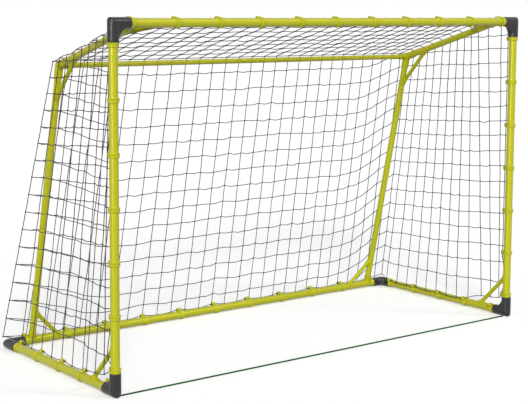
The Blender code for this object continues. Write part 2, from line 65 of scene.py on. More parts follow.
def box_middle(node):
    low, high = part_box(node)
    return (Vector(low) + Vector(high)) / 2


def box_half(node):
    low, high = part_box(node)
    return (Vector(high) - Vector(low)) / 2


def in_middle_plane(node):
    """The point of a cross tube's axis at x = 0."""
    middle = box_middle(node)
    return Vector((0, middle.y, middle.z))


# Places and sizes that come from the frame
POST_X = box_middle("right_post").x
POST_RADIUS = box_half("right_post").x
MOUTH_Y = box_middle("right_post").y
RAIL_Z = box_middle("right_ground_rail").z
CROSSBAR = in_middle_plane("crossbar")
REAR_BAR = in_middle_plane("rear_top_bar")
REAR_RAIL = in_middle_plane("rear_ground_rail")
REAR_BAR_RADIUS = box_half("rear_top_bar").y
SIDE_FRAME_X = box_middle("right_roof_rail").x
FRAME_TUBE_RADIUS = box_half("right_roof_rail").x
ROOF_SLOPE = (REAR_BAR - CROSSBAR).normalized()
STANCHION_SLOPE = (REAR_RAIL - REAR_BAR).normalized()
ROOF_UP = RIGHT.cross(ROOF_SLOPE)
REAR_OUT = RIGHT.cross(STANCHION_SLOPE)
ELBOW_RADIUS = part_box("right_top_elbow")[1][2] - CROSSBAR.z
ELBOW_ARM = CROSSBAR.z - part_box("right_top_elbow")[0][2]
CLIP_END = box_middle("right_post_clip_1").z - RAIL_Z
CLIP_WIDTH = 2 * box_half("right_post_clip_1").z

# Clips on each post, and the gap between a tube and the piece that holds it
POST_CLIPS = 7
GAP = 0.0003

# Angles above level at which the hooks of each rail point
CROSSBAR_HOOK_LIFT = math.radians(35)
GROUND_HOOK_LIFT = math.radians(45)


def lifted(level, lift):
    """A level direction turned upwards by an angle."""
    return level * math.cos(lift) + UP * math.sin(lift)


CROSSBAR_HOOK = lifted(BACK, CROSSBAR_HOOK_LIFT)
REAR_HOOK = lifted(BACK, GROUND_HOOK_LIFT)


def side_name(sign):
    return "left" if sign < 0 else "right"


class GoalTubeSettings(bpy.types.PropertyGroup):
    """Sizes of the coated tubes, fittings and braces"""

    wall: FloatProperty(
        name="Tube Wall",
        description="Wall thickness of the coated tubes",
        default=0.002,
        min=0.0005,
        unit="LENGTH",
    )
    fitting_reach: FloatProperty(
        name="Fitting Reach",
        description="Length of a rear fitting's sleeve from the corner of its tube axes",
        default=0.072,
        min=0.04,
        unit="LENGTH",
    )
    fitting_wall: FloatProperty(
        name="Fitting Wall",
        description="Wall thickness of a rear fitting's sleeves",
        default=0.0032,
        min=0.001,
        unit="LENGTH",
    )
    saddle_reach: FloatProperty(
        name="Saddle Reach",
        description="Length of a saddle's sleeve from the axis of the tube that it hugs",
        default=0.058,
        min=0.04,
        unit="LENGTH",
    )
    saddle_wall: FloatProperty(
        name="Saddle Wall",
        description="Wall thickness of a saddle round the tube that it hugs",
        default=0.004,
        min=0.001,
        unit="LENGTH",
    )
    brace_diameter: FloatProperty(
        name="Brace Diameter",
        description="Diameter of the corner braces",
        default=0.025,
        min=0.01,
        unit="LENGTH",
    )
    shoe_length: FloatProperty(
        name="Shoe Length",
        description="Length of a brace's shoe along the tube that it sits on",
        default=0.058,
        min=0.03,
        unit="LENGTH",
    )


class GoalElbowSettings(bpy.types.PropertyGroup):
    """Sizes of the black corner elbows"""

    corner_round: FloatProperty(
        name="Corner Round",
        description="Radius of the rounded outer corner",
        default=0.013,
        min=0.001,
        unit="LENGTH",
    )
    web_thickness: FloatProperty(
        name="Web Thickness",
        description="Thickness of the web that fills the inner corner",
        default=0.040,
        min=0.01,
        unit="LENGTH",
    )
    socket_depth: FloatProperty(
        name="Socket Depth",
        description="How far a tube end goes into its socket",
        default=0.066,
        min=0.01,
        unit="LENGTH",
    )


class GoalClipSettings(bpy.types.PropertyGroup):
    """Sizes of the net clips and ropes"""

    flange_radius: FloatProperty(
        name="Flange Radius",
        description="Radius of the flange on one rim of a clip of the posts and the crossbar",
        default=0.0330,
        min=0.028,
        unit="LENGTH",
    )
    ground_flange_radius: FloatProperty(
        name="Ground Flange Radius",
        description="Radius of the flange of a clip on a ground rail, which has to stay above the floor",
        default=0.0312,
        min=0.028,
        unit="LENGTH",
    )
    hook_reach: FloatProperty(
        name="Hook Reach",
        description="Distance from the tube's axis to the back of a hook",
        default=0.048,
        min=0.04,
        unit="LENGTH",
    )
    hook_thickness: FloatProperty(
        name="Hook Thickness",
        description="Thickness of a hook's stem and bar",
        default=0.0052,
        min=0.001,
        unit="LENGTH",
    )
    hook_width: FloatProperty(
        name="Hook Width",
        description="Width of a hook's bar across the rope",
        default=0.026,
        min=0.01,
        unit="LENGTH",
    )
    spacing: FloatProperty(
        name="Clip Spacing",
        description="Distance between the clips on a rail",
        default=0.2825,
        min=0.1,
        unit="LENGTH",
    )
    rope_diameter: FloatProperty(
        name="Rope Diameter",
        description="Diameter of the border rope in the hooks",
        default=0.005,
        min=0.002,
        unit="LENGTH",
    )


class GoalNetSettings(bpy.types.PropertyGroup):
    """Sizes of the net"""

    cord_diameter: FloatProperty(
        name="Cord Diameter",
        description="Diameter of the net's cord",
        default=0.0052,
        min=0.001,
        unit="LENGTH",
    )
    columns: IntProperty(
        name="Columns",
        description="Cells of the roof and the rear from side to side",
        default=29,
        min=4,
    )
    rows: IntProperty(
        name="Rows",
        description="Cells of the rear and the sides from the fold down to the ground",
        default=16,
        min=4,
    )
    roof_rows: IntProperty(
        name="Roof Rows",
        description="Cells of the roof from the crossbar to the fold",
        default=9,
        min=2,
    )
    wander: FloatProperty(
        name="Wander",
        description="How far a knot strays from its even place",
        default=0.010,
        min=0.0,
        unit="LENGTH",
    )
    slack: FloatProperty(
        name="Slack",
        description="How far a slack cord hangs between two knots",
        default=0.007,
        min=0.0,
        unit="LENGTH",
    )
    seed: IntProperty(
        name="Seed",
        description="Start of the random slack and wander",
        default=7,
        min=1,
    )


class GoalFinishSettings(bpy.types.PropertyGroup):
    """Colours of the goal's finishes"""

    coating: FloatVectorProperty(
        name="Coating",
        description="Colour of the powder coat on the tubes",
        default=(0.53, 0.53, 0.004),
        min=0.0,
        max=1.0,
        subtype="COLOR",
    )
    clip: FloatVectorProperty(
        name="Clips",
        description="Colour of the moulded net clips",
        default=(0.55, 0.55, 0.005),
        min=0.0,
        max=1.0,
        subtype="COLOR",
    )
    elbow: FloatVectorProperty(
        name="Elbows",
        description="Colour of the moulded elbows",
        default=(0.018, 0.018, 0.0195),
        min=0.0,
        max=1.0,
        subtype="COLOR",
    )
    net: FloatVectorProperty(
        name="Net",
        description="Colour of the net's cord and the border rope",
        default=(0.045, 0.045, 0.050),
        min=0.0,
        max=1.0,
        subtype="COLOR",
    )
    line: FloatVectorProperty(
        name="Goal Line",
        description="Colour of the cord on the goal line",
        default=(0.008, 0.15, 0.012),
        min=0.0,
        max=1.0,
        subtype="COLOR",
    )


class GoalStudioSettings(bpy.types.PropertyGroup):
    """Camera and light"""

    camera_place: FloatVectorProperty(
        name="Camera",
        description="Camera position from the middle of the goal line",
        default=(-4.9934, -5.7234, 2.0545),
        subtype="XYZ",
        unit="LENGTH",
    )
    camera_yaw: FloatProperty(
        name="Yaw",
        description="Turn of the view from straight at the mouth towards the right",
        default=math.radians(37.8784),
        subtype="ANGLE",
    )
    camera_dip: FloatProperty(
        name="Dip",
        description="Angle of the view below the horizon",
        default=math.radians(6.195),
        subtype="ANGLE",
    )
    camera_roll: FloatProperty(
        name="Roll",
        description="Turn of the camera about its own axis",
        default=math.radians(0.3377),
        subtype="ANGLE",
    )
    lens: FloatProperty(
        name="Lens",
        description="Focal length in millimetres on a sensor 36 mm wide",
        default=88.184,
        min=10.0,
    )
    shift: FloatProperty(
        name="Shift",
        description="Upward shift of the view in shares of its width",
        default=-0.1034,
    )
    key: FloatProperty(
        name="Key Light",
        description="Strength of the key light, in watts per square metre",
        default=1.70,
        min=0.0,
    )
    key_side: FloatProperty(
        name="Key Side",
        description="Angle of the key light to the left of the mouth's middle",
        default=math.radians(28),
        subtype="ANGLE",
    )
    key_height: FloatProperty(
        name="Key Height",
        description="Angle of the key light above the floor",
        default=math.radians(28),
        subtype="ANGLE",
    )
    softness: FloatProperty(
        name="Softness",
        description="Angle over which the key light spreads",
        default=math.radians(16),
        min=0.0,
        subtype="ANGLE",
    )
    left_strip: FloatProperty(
        name="Left Strip",
        description="Strength of the low light from the left, in watts per square metre",
        default=1.5,
        min=0.0,
    )
    right_fill: FloatProperty(
        name="Right Fill",
        description="Strength of the light from the right, in watts per square metre",
        default=0.42,
        min=0.0,
    )
    ambient: FloatProperty(
        name="Ambient",
        description="Strength of the light from all round",
        default=0.27,
        min=0.0,
    )
    floor: FloatVectorProperty(
        name="Floor",
        description="Colour of the floor as the camera sees it",
        default=(0.99, 0.99, 0.99),
        min=0.0,
        max=1.0,
        subtype="COLOR",
    )


# Small tools for shapes


def basis(origin, x_axis, y_axis):
    """A matrix that puts local x and y on the given directions."""
    turn = Matrix((x_axis, y_axis, Vector(x_axis).cross(y_axis))).transposed()
    return Matrix.Translation(origin) @ turn.to_4x4()


def along(start, direction):
    """A matrix that puts local z on a direction and local x level where it can be."""
    z_axis = Vector(direction).normalized()
    guide = RIGHT if abs(z_axis.x) < 0.9 else BACK
    x_axis = (guide - z_axis * guide.dot(z_axis)).normalized()
    return basis(start, x_axis, z_axis.cross(x_axis))


def add_rod(bm, radius, start, end, sides=64, tip_radius=None):
    """A closed round bar, or a cone if its tip has a radius of its own, between two points."""
    run = end - start
    bmesh.ops.create_cone(
        bm,
        cap_ends=True,
        segments=sides,
        radius1=radius,
        radius2=radius if tip_radius is None else tip_radius,
        depth=run.length,
        matrix=along(start, run) @ Matrix.Translation((0, 0, run.length / 2)),
    )


def add_bead(bm, middle, direction, ring_radius, bead_radius, sides=48):
    """A round bead that runs round a sleeve."""
    turned = bmesh.new()
    bmesh.ops.create_circle(turned, segments=12, radius=bead_radius, cap_ends=False)
    to_profile = Matrix.Translation((ring_radius, 0, 0)) @ Matrix.Rotation(math.pi / 2, 4, "X")
    bmesh.ops.transform(turned, verts=turned.verts, matrix=to_profile)
    spin_full(turned, sides)
    bmesh.ops.transform(turned, verts=turned.verts, matrix=along(middle, direction))
    add_copy(bm, turned)


def spin_full(bm, steps):
    """Turns the edges of a bmesh once round the z axis into a closed skin."""
    bmesh.ops.spin(
        bm,
        geom=bm.edges[:] + bm.verts[:],
        cent=(0, 0, 0),
        axis=(0, 0, 1),
        angle=2 * math.pi,
        steps=steps,
        use_merge=True,
        use_duplicate=False,
    )
    bmesh.ops.remove_doubles(bm, verts=bm.verts, dist=1e-6)
    bmesh.ops.recalc_face_normals(bm, faces=bm.faces)


def spin_profile(bm, profile, steps):
    """Turns a closed outline of radii and heights once round the z axis."""
    verts = [bm.verts.new((radius, 0, height)) for radius, height in profile]
    for vert, following in zip(verts, verts[1:] + verts[:1]):
        bm.edges.new((vert, following))
    spin_full(bm, steps)


def mesh_from(bm, name):
    """A mesh with the shape of a bmesh, which is freed."""
    mesh = bpy.data.meshes.new(name)
    bm.to_mesh(mesh)
    bm.free()
    return mesh


def take_mesh(bm, mesh):
    """Puts a mesh into a bmesh and removes the mesh."""
    bm.from_mesh(mesh)
    bpy.data.meshes.remove(mesh)


def add_copy(bm, part):
    """Puts a finished part into a larger bmesh and frees the part."""
    take_mesh(bm, mesh_from(part, "part"))


def link_object(name, data):
    """A new object in the scene."""
    made = bpy.data.objects.new(name, data)
    bpy.context.collection.objects.link(made)
    return made


def arc(middle, radius, start, end, steps):
    """Points of an arc in the plane of local x and y."""
    angles = [start + (end - start) * step / steps for step in range(steps + 1)]
    return [(middle[0] + radius * math.cos(a), middle[1] + radius * math.sin(a)) for a in angles]


def plate(outline, thickness):
    """An extruded outline with its middle at z = 0."""
    bm = bmesh.new()
    verts = [bm.verts.new((x, y, -thickness / 2)) for x, y in outline]
    face = bm.faces.new(verts)
    top = bmesh.ops.extrude_face_region(bm, geom=[face])["geom"]
    moved = [part for part in top if isinstance(part, bmesh.types.BMVert)]
    bmesh.ops.translate(bm, verts=moved, vec=(0, 0, thickness))
    bmesh.ops.recalc_face_normals(bm, faces=bm.faces)
    return bm


def bevel_edges(bm, edges, width, segments):
    bmesh.ops.bevel(
        bm,
        geom=edges,
        offset=width,
        offset_type="OFFSET",
        segments=segments,
        profile=0.5,
        affect="EDGES",
        material=-1,
        clamp_overlap=True,
    )


def scratch_object(name, bm):
    """A short-lived object for modifiers to use."""
    return link_object(name, mesh_from(bm, name))


def read_mesh(scratch):
    """The mesh of an object with its modifiers applied. The object is removed."""
    bpy.context.view_layer.update()
    evaluated = scratch.evaluated_get(bpy.context.evaluated_depsgraph_get())
    mesh = bpy.data.meshes.new_from_object(evaluated)
    data = scratch.data
    bpy.data.objects.remove(scratch)
    if isinstance(data, bpy.types.Mesh):
        bpy.data.meshes.remove(data)
    return mesh


def melt(bm, grain, passes):
    """Overlapping closed shapes become one skin, and its inner corners become soft."""
    scratch = scratch_object("melt", bm)
    skin = scratch.modifiers.new("skin", "REMESH")
    skin.mode = "VOXEL"
    skin.voxel_size = grain
    soften = scratch.modifiers.new("soften", "SMOOTH")
    soften.factor = 0.5
    soften.iterations = passes
    return read_mesh(scratch)


def cut(mesh, cutter):
    """A mesh less the shape of a cutter."""
    body = link_object("body", mesh)
    tool = scratch_object("cutter", cutter)
    change = body.modifiers.new("cut", "BOOLEAN")
    change.operation = "DIFFERENCE"
    change.object = tool
    result = read_mesh(body)
    tool_mesh = tool.data
    bpy.data.objects.remove(tool)
    bpy.data.meshes.remove(tool_mesh)
    return result


def make_piece(name, source, finish, nodes=(), sharp=35):
    """A finished piece from a bmesh or a mesh. It rides on the frame and replaces CAD nodes."""
    if isinstance(source, bmesh.types.BMesh):
        mesh = mesh_from(source, name)
    else:
        mesh = source
        mesh.name = name
    mesh.shade_smooth()
    mesh.set_sharp_from_angle(angle=math.radians(sharp))
    mesh.materials.clear()
    mesh.materials.append(finish)
    piece = link_object(name, mesh)
    if nodes:
        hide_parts(*nodes)
    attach(piece, "root")
    return piece


def placed(mesh, matrix):
    """A copy of a mesh at its place."""
    copy = mesh.copy()
    copy.transform(matrix)
    return copy


def smooth_route(points, steps):
    """Points of a smooth curve through the given points, with some steps on each stretch."""
    ends = [points[0] * 2 - points[1], *points, points[-1] * 2 - points[-2]]
    route = []
    for before, start, end, after in zip(ends, ends[1:], ends[2:], ends[3:]):
        leave = start + (end - before) / 6
        arrive = end - (after - start) / 6
        route += interpolate_bezier(start, leave, arrive, end, steps + 1)[:-1]
    return route + [points[-1]]


def cord_curve(name, routes, diameter, roundness):
    """A curve object with one round cord along each route."""
    curve = bpy.data.curves.new(name, "CURVE")
    curve.dimensions = "3D"
    curve.bevel_depth = diameter / 2
    curve.bevel_resolution = roundness
    curve.use_fill_caps = True
    for route in routes:
        spline = curve.splines.new("POLY")
        spline.points.add(len(route) - 1)
        for point, place in zip(spline.points, route):
            point.co = (*place, 1)
    return link_object(name, curve)


def cords_to_bmesh(routes, diameter, roundness):
    cords = cord_curve("cords", routes, diameter, roundness)
    curve = cords.data
    mesh = read_mesh(cords)
    bpy.data.curves.remove(curve)
    bm = bmesh.new()
    take_mesh(bm, mesh)
    return bm


def share_between(first, second, share):
    return first + (second - first) * share


# Finishes


class Finish:
    """A procedural material on the object's own coordinates."""

    def __init__(self, name, roughness, specular):
        self.material = bpy.data.materials.new(name)
        self.material.use_nodes = True
        self.tree = self.material.node_tree
        self.shader = self.tree.nodes["Principled BSDF"]
        self.shader.inputs["Roughness"].default_value = roughness
        self.shader.inputs["Specular IOR Level"].default_value = specular
        self.place = self.tree.nodes.new("ShaderNodeTexCoord").outputs["Object"]

    def node(self, kind, inputs, **settings):
        made = self.tree.nodes.new(kind)
        for name, value in settings.items():
            setattr(made, name, value)
        for name, value in inputs.items():
            if isinstance(value, bpy.types.NodeSocket):
                self.tree.links.new(value, made.inputs[name])
            else:
                made.inputs[name].default_value = value
        return made

    def grain(self, scale, detail=2.0, place=None):
        inputs = {"Vector": place or self.place, "Scale": scale, "Detail": detail}
        return self.node("ShaderNodeTexNoise", inputs).outputs["Fac"]

    def between(self, value, low, high, start=0.3, end=0.7):
        inputs = {"Value": value, "From Min": start, "From Max": end, "To Min": low, "To Max": high}
        return self.node("ShaderNodeMapRange", inputs).outputs["Result"]

    def mix(self, share, first, second):
        made = self.node("ShaderNodeMix", {"Factor": share}, data_type="RGBA")
        for socket, value in (("A_Color", first), ("B_Color", second)):
            target = next(item for item in made.inputs if item.identifier == socket)
            if isinstance(value, bpy.types.NodeSocket):
                self.tree.links.new(value, target)
            else:
                target.default_value = value
        return next(item for item in made.outputs if item.identifier == "Result_Color")

    def math(self, operation, first, second):
        made = self.tree.nodes.new("ShaderNodeMath")
        made.operation = operation
        for socket, value in zip(made.inputs, (first, second)):
            if isinstance(value, bpy.types.NodeSocket):
                self.tree.links.new(value, socket)
            else:
                socket.default_value = value
        return made.outputs["Value"]

    def color(self, socket):
        self.tree.links.new(socket, self.shader.inputs["Base Color"])

    def roughness(self, socket):
        self.tree.links.new(socket, self.shader.inputs["Roughness"])

    def bump(self, height, strength, distance):
        made = self.node("ShaderNodeBump", {"Height": height, "Strength": strength, "Distance": distance})
        self.tree.links.new(made.outputs["Normal"], self.shader.inputs["Normal"])


def shade(color, factor):
    """A colour made lighter or darker, with its alpha."""
    return (*(min(1.0, part * factor) for part in color), 1.0)


def dust_near_floor(finish, reach):
    """A share that is 1 on the floor and fades out over some height, broken up by patches."""
    height = finish.node("ShaderNodeSeparateXYZ", {"Vector": finish.place}).outputs["Z"]
    low = finish.between(height, 1.0, 0.0, 0.0, reach)
    patches = finish.between(finish.grain(38, 5.0), 0.0, 1.0, 0.45, 0.75)
    return finish.math("MULTIPLY", low, patches)


DUST = (0.42, 0.41, 0.34, 1.0)
GLOSS_TINT = (1.0, 1.0, 0.35, 1.0)


def coating_finish(color, name="powder_coat", smoothest=0.29, roughest=0.37, specular=1.0):
    """Powder coat on steel: slightly wavy, with small changes of tone, and dusty near the floor."""
    if name in bpy.data.materials:
        return bpy.data.materials[name]
    coat = Finish(name, roughest, specular)
    coat.shader.inputs["Specular Tint"].default_value = GLOSS_TINT
    tone = coat.mix(coat.grain(7, 3.0), shade(color, 0.96), shade(color, 1.04))
    specks = coat.between(coat.grain(210, 3.0), 0.0, 0.12, 0.66, 0.74)
    tone = coat.mix(specks, tone, shade(color, 0.72))
    dust = coat.math("MULTIPLY", dust_near_floor(coat, 0.05), 0.16)
    coat.color(coat.mix(dust, tone, DUST))
    coat.roughness(coat.between(coat.grain(26, 4.0), smoothest, roughest))
    peel = coat.math("ADD", coat.grain(430, 2.0), coat.math("MULTIPLY", coat.grain(60, 2.0), 0.8))
    coat.bump(peel, 0.06, 0.0003)
    return coat.material


def satin_finish(color):
    """The same coat over castings and braces, whose rougher metal leaves it satin."""
    return coating_finish(color, "powder_coat_satin", 0.42, 0.52, 0.5)


def clip_finish(color):
    """Moulded plastic with a finer skin than the powder coat."""
    name = "clip_plastic"
    if name in bpy.data.materials:
        return bpy.data.materials[name]
    skin = Finish(name, 0.30, 0.9)
    skin.shader.inputs["Specular Tint"].default_value = GLOSS_TINT
    tone = skin.mix(skin.grain(34, 3.0), shade(color, 0.95), shade(color, 1.05))
    skin.color(tone)
    skin.roughness(skin.between(skin.grain(90, 3.0), 0.27, 0.40))
    skin.bump(skin.grain(1300, 2.0), 0.08, 0.0002)
    return skin.material


def elbow_finish(color):
    """Black moulded plastic with an eroded grain and a slight bloom of dust."""
    name = "elbow_plastic"
    if name in bpy.data.materials:
        return bpy.data.materials[name]
    skin = Finish(name, 0.32, 0.4)
    tone = skin.mix(skin.grain(22, 5.0), shade(color, 0.80), shade(color, 1.25))
    scuffs = skin.between(skin.grain(75, 6.0), 0.0, 0.35, 0.62, 0.74)
    tone = skin.mix(scuffs, tone, shade(color, 2.2))
    skin.color(tone)
    skin.roughness(skin.between(skin.grain(48, 4.0), 0.26, 0.37))
    skin.bump(skin.grain(1500, 3.0), 0.2, 0.0002)
    return skin.material


def cord_finish(name, color, scale):
    """Braided cord: bundles of fibre with a painted highlight on their middles and painted shade in the
    gaps between them, with fuzz.
    """
    if name in bpy.data.materials:
        return bpy.data.materials[name]
    yarn = Finish(name, 0.8, 0.3)
    yarn.shader.inputs["Sheen Weight"].default_value = 0.25
    yarn.shader.inputs["Sheen Roughness"].default_value = 0.5
    inputs = {"Vector": yarn.place, "Scale": scale}
    bundles = yarn.node("ShaderNodeTexVoronoi", inputs, feature="F1").outputs["Distance"]
    # Painted highlight on the middle of each fibre bundle and painted shade in the gaps between bundles
    tone = yarn.mix(yarn.between(bundles, 0.0, 1.0, 0.1, 0.7), shade(color, 1.35), shade(color, 0.55))
    yarn.color(yarn.mix(yarn.grain(30, 3.0), tone, shade(color, 1.1)))
    fuzz = yarn.math("SUBTRACT", yarn.math("MULTIPLY", yarn.grain(scale * 3, 2.0), 0.5), bundles)
    yarn.bump(fuzz, 0.8, 0.0004)
    return yarn.material


def line_finish(color):
    """The goal line's braided cord, with plaits that cross its length, painted shade in the grooves between
    them and a painted highlight on their crowns.
    """
    name = "goal_line_braid"
    if name in bpy.data.materials:
        return bpy.data.materials[name]
    braid = Finish(name, 0.9, 0.08)
    bands = []
    for turn in (0.6, -0.6):
        inputs = {"Vector": braid.place, "Rotation": (0.0, 0.0, turn)}
        turned = braid.node("ShaderNodeMapping", inputs).outputs["Vector"]
        inputs = {"Vector": turned, "Scale": 130.0, "Distortion": 0.6, "Detail": 2.0}
        bands.append(braid.node("ShaderNodeTexWave", inputs).outputs["Fac"])
    plait = braid.math("MULTIPLY", *bands)
    # Painted shade in the grooves between the plaits and a painted highlight on their raised crowns
    braid.color(braid.mix(plait, shade(color, 0.55), shade(color, 1.35)))
    braid.bump(plait, 0.6, 0.0005)
    return braid.material


# Studio

SENSOR_WIDTH = 36
FAR_CLIP = 2000
LAMP_DISTANCE = 8

# Side, height and softness of the two smaller lights
LEFT_STRIP_ANGLES = (math.radians(67), math.radians(1), math.radians(8))
RIGHT_FILL_ANGLES = (math.radians(-41), math.radians(42), math.radians(10))

FLOOR_SIZE = 900
BOUNCE = (0.20, 0.20, 0.20, 1.0)
FLOOR_GLOW = 0.395


def build_studio(studio):
    """Camera at the photographed angle, pale floor and soft light."""
    yaw = studio.camera_yaw
    dip = studio.camera_dip
    forward = Vector((math.sin(yaw) * math.cos(dip), math.cos(yaw) * math.cos(dip), -math.sin(dip)))
    level = Vector((math.cos(yaw), -math.sin(yaw), 0))
    top = level.cross(forward)
    turn = Matrix((level, top, -forward)).transposed() @ Matrix.Rotation(studio.camera_roll, 3, "Z")
    data = bpy.data.cameras.new("photo_camera")
    data.lens = studio.lens
    data.sensor_width = SENSOR_WIDTH
    data.shift_y = studio.shift
    data.clip_end = FAR_CLIP
    camera = link_object("photo_camera", data)
    place = Vector(studio.camera_place) + BACK * MOUTH_Y
    camera.matrix_world = Matrix.Translation(place) @ turn.to_4x4()
    bpy.context.scene.camera = camera

    add_light("key_light", studio.key, studio.key_side, studio.key_height, studio.softness)
    add_light("left_strip", studio.left_strip, *LEFT_STRIP_ANGLES)
    add_light("right_fill", studio.right_fill, *RIGHT_FILL_ANGLES)
    build_world(studio.ambient)
    build_floor(studio.floor)
    bpy.context.scene.view_settings.view_transform = "Standard"


def add_light(name, strength, side, height, softness):
    """A distant soft light, at an angle to the left of the mouth's middle and one above the floor."""
    data = bpy.data.lights.new(name, "SUN")
    data.energy = strength
    data.angle = softness
    lamp = link_object(name, data)
    towards = lifted(-BACK * math.cos(side) - RIGHT * math.sin(side), height)
    turn = towards.to_track_quat("Z", "Y").to_matrix().to_4x4()
    lamp.matrix_world = Matrix.Translation(towards * LAMP_DISTANCE) @ turn


def seen_directly(tree):
    """A share that is 1 for rays that come from the camera, a reflection or clear material."""
    path = tree.nodes.new("ShaderNodeLightPath")
    total = path.outputs["Is Camera Ray"]
    for name in ("Is Glossy Ray", "Is Transmission Ray"):
        step = tree.nodes.new("ShaderNodeMath")
        step.operation = "MAXIMUM"
        tree.links.new(total, step.inputs[0])
        tree.links.new(path.outputs[name], step.inputs[1])
        total = step.outputs["Value"]
    return total


def build_world(ambient):
    world = bpy.data.worlds.new("studio")
    world.use_nodes = True
    tree = world.node_tree
    light = tree.nodes["Background"]
    light.inputs["Color"].default_value = (1, 1, 1, 1)
    light.inputs["Strength"].default_value = ambient
    seen = tree.nodes.new("ShaderNodeBackground")
    seen.inputs["Color"].default_value = (1, 1, 1, 1)
    mix = tree.nodes.new("ShaderNodeMixShader")
    tree.links.new(seen_directly(tree), mix.inputs["Fac"])
    tree.links.new(light.outputs["Background"], mix.inputs[1])
    tree.links.new(seen.outputs["Background"], mix.inputs[2])
    tree.links.new(mix.outputs["Shader"], tree.nodes["World Output"].inputs["Surface"])
    bpy.context.scene.world = world


def build_floor(color):
    """A floor that is white to the eye but throws less light up, and that takes the object's shadow."""
    bm = bmesh.new()
    bmesh.ops.create_grid(bm, x_segments=1, y_segments=1, size=FLOOR_SIZE)
    mesh = mesh_from(bm, "studio_floor")
    floor = link_object("studio_floor", mesh)
    matt = Finish("studio_floor", 0.9, 0.0)
    seen = seen_directly(matt.tree)
    pale = matt.mix(matt.grain(2.5, 3.0), shade(color, 0.995), shade(color, 1.0))
    matt.color(matt.mix(seen, BOUNCE, pale))
    matt.shader.inputs["Emission Color"].default_value = (1, 1, 1, 1)
    matt.tree.links.new(matt.math("MULTIPLY", seen, FLOOR_GLOW), matt.shader.inputs["Emission Strength"])
    mesh.materials.append(matt.material)


# Pieces


def build_line_cord(color):
    """A cord drawn tight on the floor between the two front elbows."""
    low, high = (Vector(corner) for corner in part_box("goal_line_cord"))
    diameter = high.z - low.z
    points = 41
    middle = (low + high) / 2
    reach = (high.x - low.x) / 2
    shares = [number / (points - 1) for number in range(points)]
    route = [Vector((reach * (2 * share - 1), middle.y, middle.z)) for share in shares]
    cord = cord_curve("goal_line", [route], diameter, 4)
    cord.data.materials.append(line_finish(color))
    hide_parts("goal_line_cord")
    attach(cord, "root")


def hollow_tube(start, end, radius, wall, sides=64):
    """A round tube with open ends, whose rims are slightly rounded."""
    bm = bmesh.new()
    run = end - start
    rim = wall * 0.3
    length = run.length
    profile = [
        (radius - wall, rim),
        (radius - wall + rim, 0),
        (radius - rim, 0),
        (radius, rim),
        (radius, length - rim),
        (radius - rim, length),
        (radius - wall + rim, length),
        (radius - wall, length - rim),
    ]
    spin_profile(bm, profile, sides)
    bmesh.ops.transform(bm, verts=bm.verts, matrix=along(start, run))
    return bm


def straight_ends(node, direction):
    """Ends of an axis-parallel tube from its box."""
    middle = box_middle(node)
    half = direction * box_half(node).dot(direction)
    return middle - half, middle + half


def sloped_ends(node, direction):
    """Ends of a tube that slopes in the plane of y and z, from its box and its radius."""
    low, high = (Vector(corner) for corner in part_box(node))
    middle = (low + high) / 2
    reach = (high.y - low.y) / 2 - FRAME_TUBE_RADIUS * abs(direction.z)
    half = direction * (reach / abs(direction.y))
    return middle - half, middle + half


def build_tubes(sizes, finish):
    """Posts, crossbar, ground rails, rear bar, roof rails and stanchions."""
    tubes = [("crossbar", *straight_ends("crossbar", RIGHT), POST_RADIUS)]
    tubes.append(("rear_ground_rail", *straight_ends("rear_ground_rail", RIGHT), POST_RADIUS))
    tubes.append(("rear_top_bar", *straight_ends("rear_top_bar", RIGHT), REAR_BAR_RADIUS))
    for side, sign in SIDES_OF_GOAL:
        tubes.append((f"{side}_post", *straight_ends(f"{side}_post", UP), POST_RADIUS))
        tubes.append((f"{side}_ground_rail", *straight_ends(f"{side}_ground_rail", BACK), POST_RADIUS))
        roof = sloped_ends(f"{side}_roof_rail", ROOF_SLOPE)
        tubes.append((f"{side}_roof_rail", *roof, FRAME_TUBE_RADIUS))
        stanchion = sloped_ends(f"{side}_stanchion", STANCHION_SLOPE)
        tubes.append((f"{side}_stanchion", *stanchion, FRAME_TUBE_RADIUS))
    for node, start, end, radius in tubes:
        tube = hollow_tube(start, end, radius, sizes.wall)
        make_piece(f"{node}_tube", tube, finish, [node])


def elbow_stock(sizes):
    """Two round arms along +x and +y that meet in a mitre, with a rounded corner and a curved web."""
    bm = bmesh.new()
    add_rod(bm, ELBOW_RADIUS, RIGHT * -2 * ELBOW_RADIUS, RIGHT * ELBOW_ARM)
    parts = bm.verts[:] + bm.edges[:] + bm.faces[:]
    bmesh.ops.bisect_plane(bm, geom=parts, plane_co=(0, 0, 0), plane_no=(-1, 1, 0), clear_outer=True)
    parts = bm.verts[:] + bm.edges[:] + bm.faces[:]
    other_arm = bmesh.ops.duplicate(bm, geom=parts)["geom"]
    verts = [part for part in other_arm if isinstance(part, bmesh.types.BMVert)]
    swap = Matrix(((0, 1, 0, 0), (1, 0, 0, 0), (0, 0, 1, 0), (0, 0, 0, 1)))
    bmesh.ops.transform(bm, verts=verts, matrix=swap)
    bmesh.ops.remove_doubles(bm, verts=bm.verts, dist=1e-6)
    bmesh.ops.recalc_face_normals(bm, faces=bm.faces)
    bend = [e for e in bm.edges if all(abs(v.co.x - v.co.y) < 1e-6 and v.co.x < 0 for v in e.verts)]
    bevel_edges(bm, bend, sizes.corner_round, 6)
    buried = ELBOW_RADIUS * 0.7
    rim = ELBOW_ARM - 0.002
    curve = arc((rim, rim), rim - buried, -math.pi / 2, -math.pi, 24)
    add_copy(bm, plate([(buried, buried), *curve], sizes.web_thickness))
    return bm


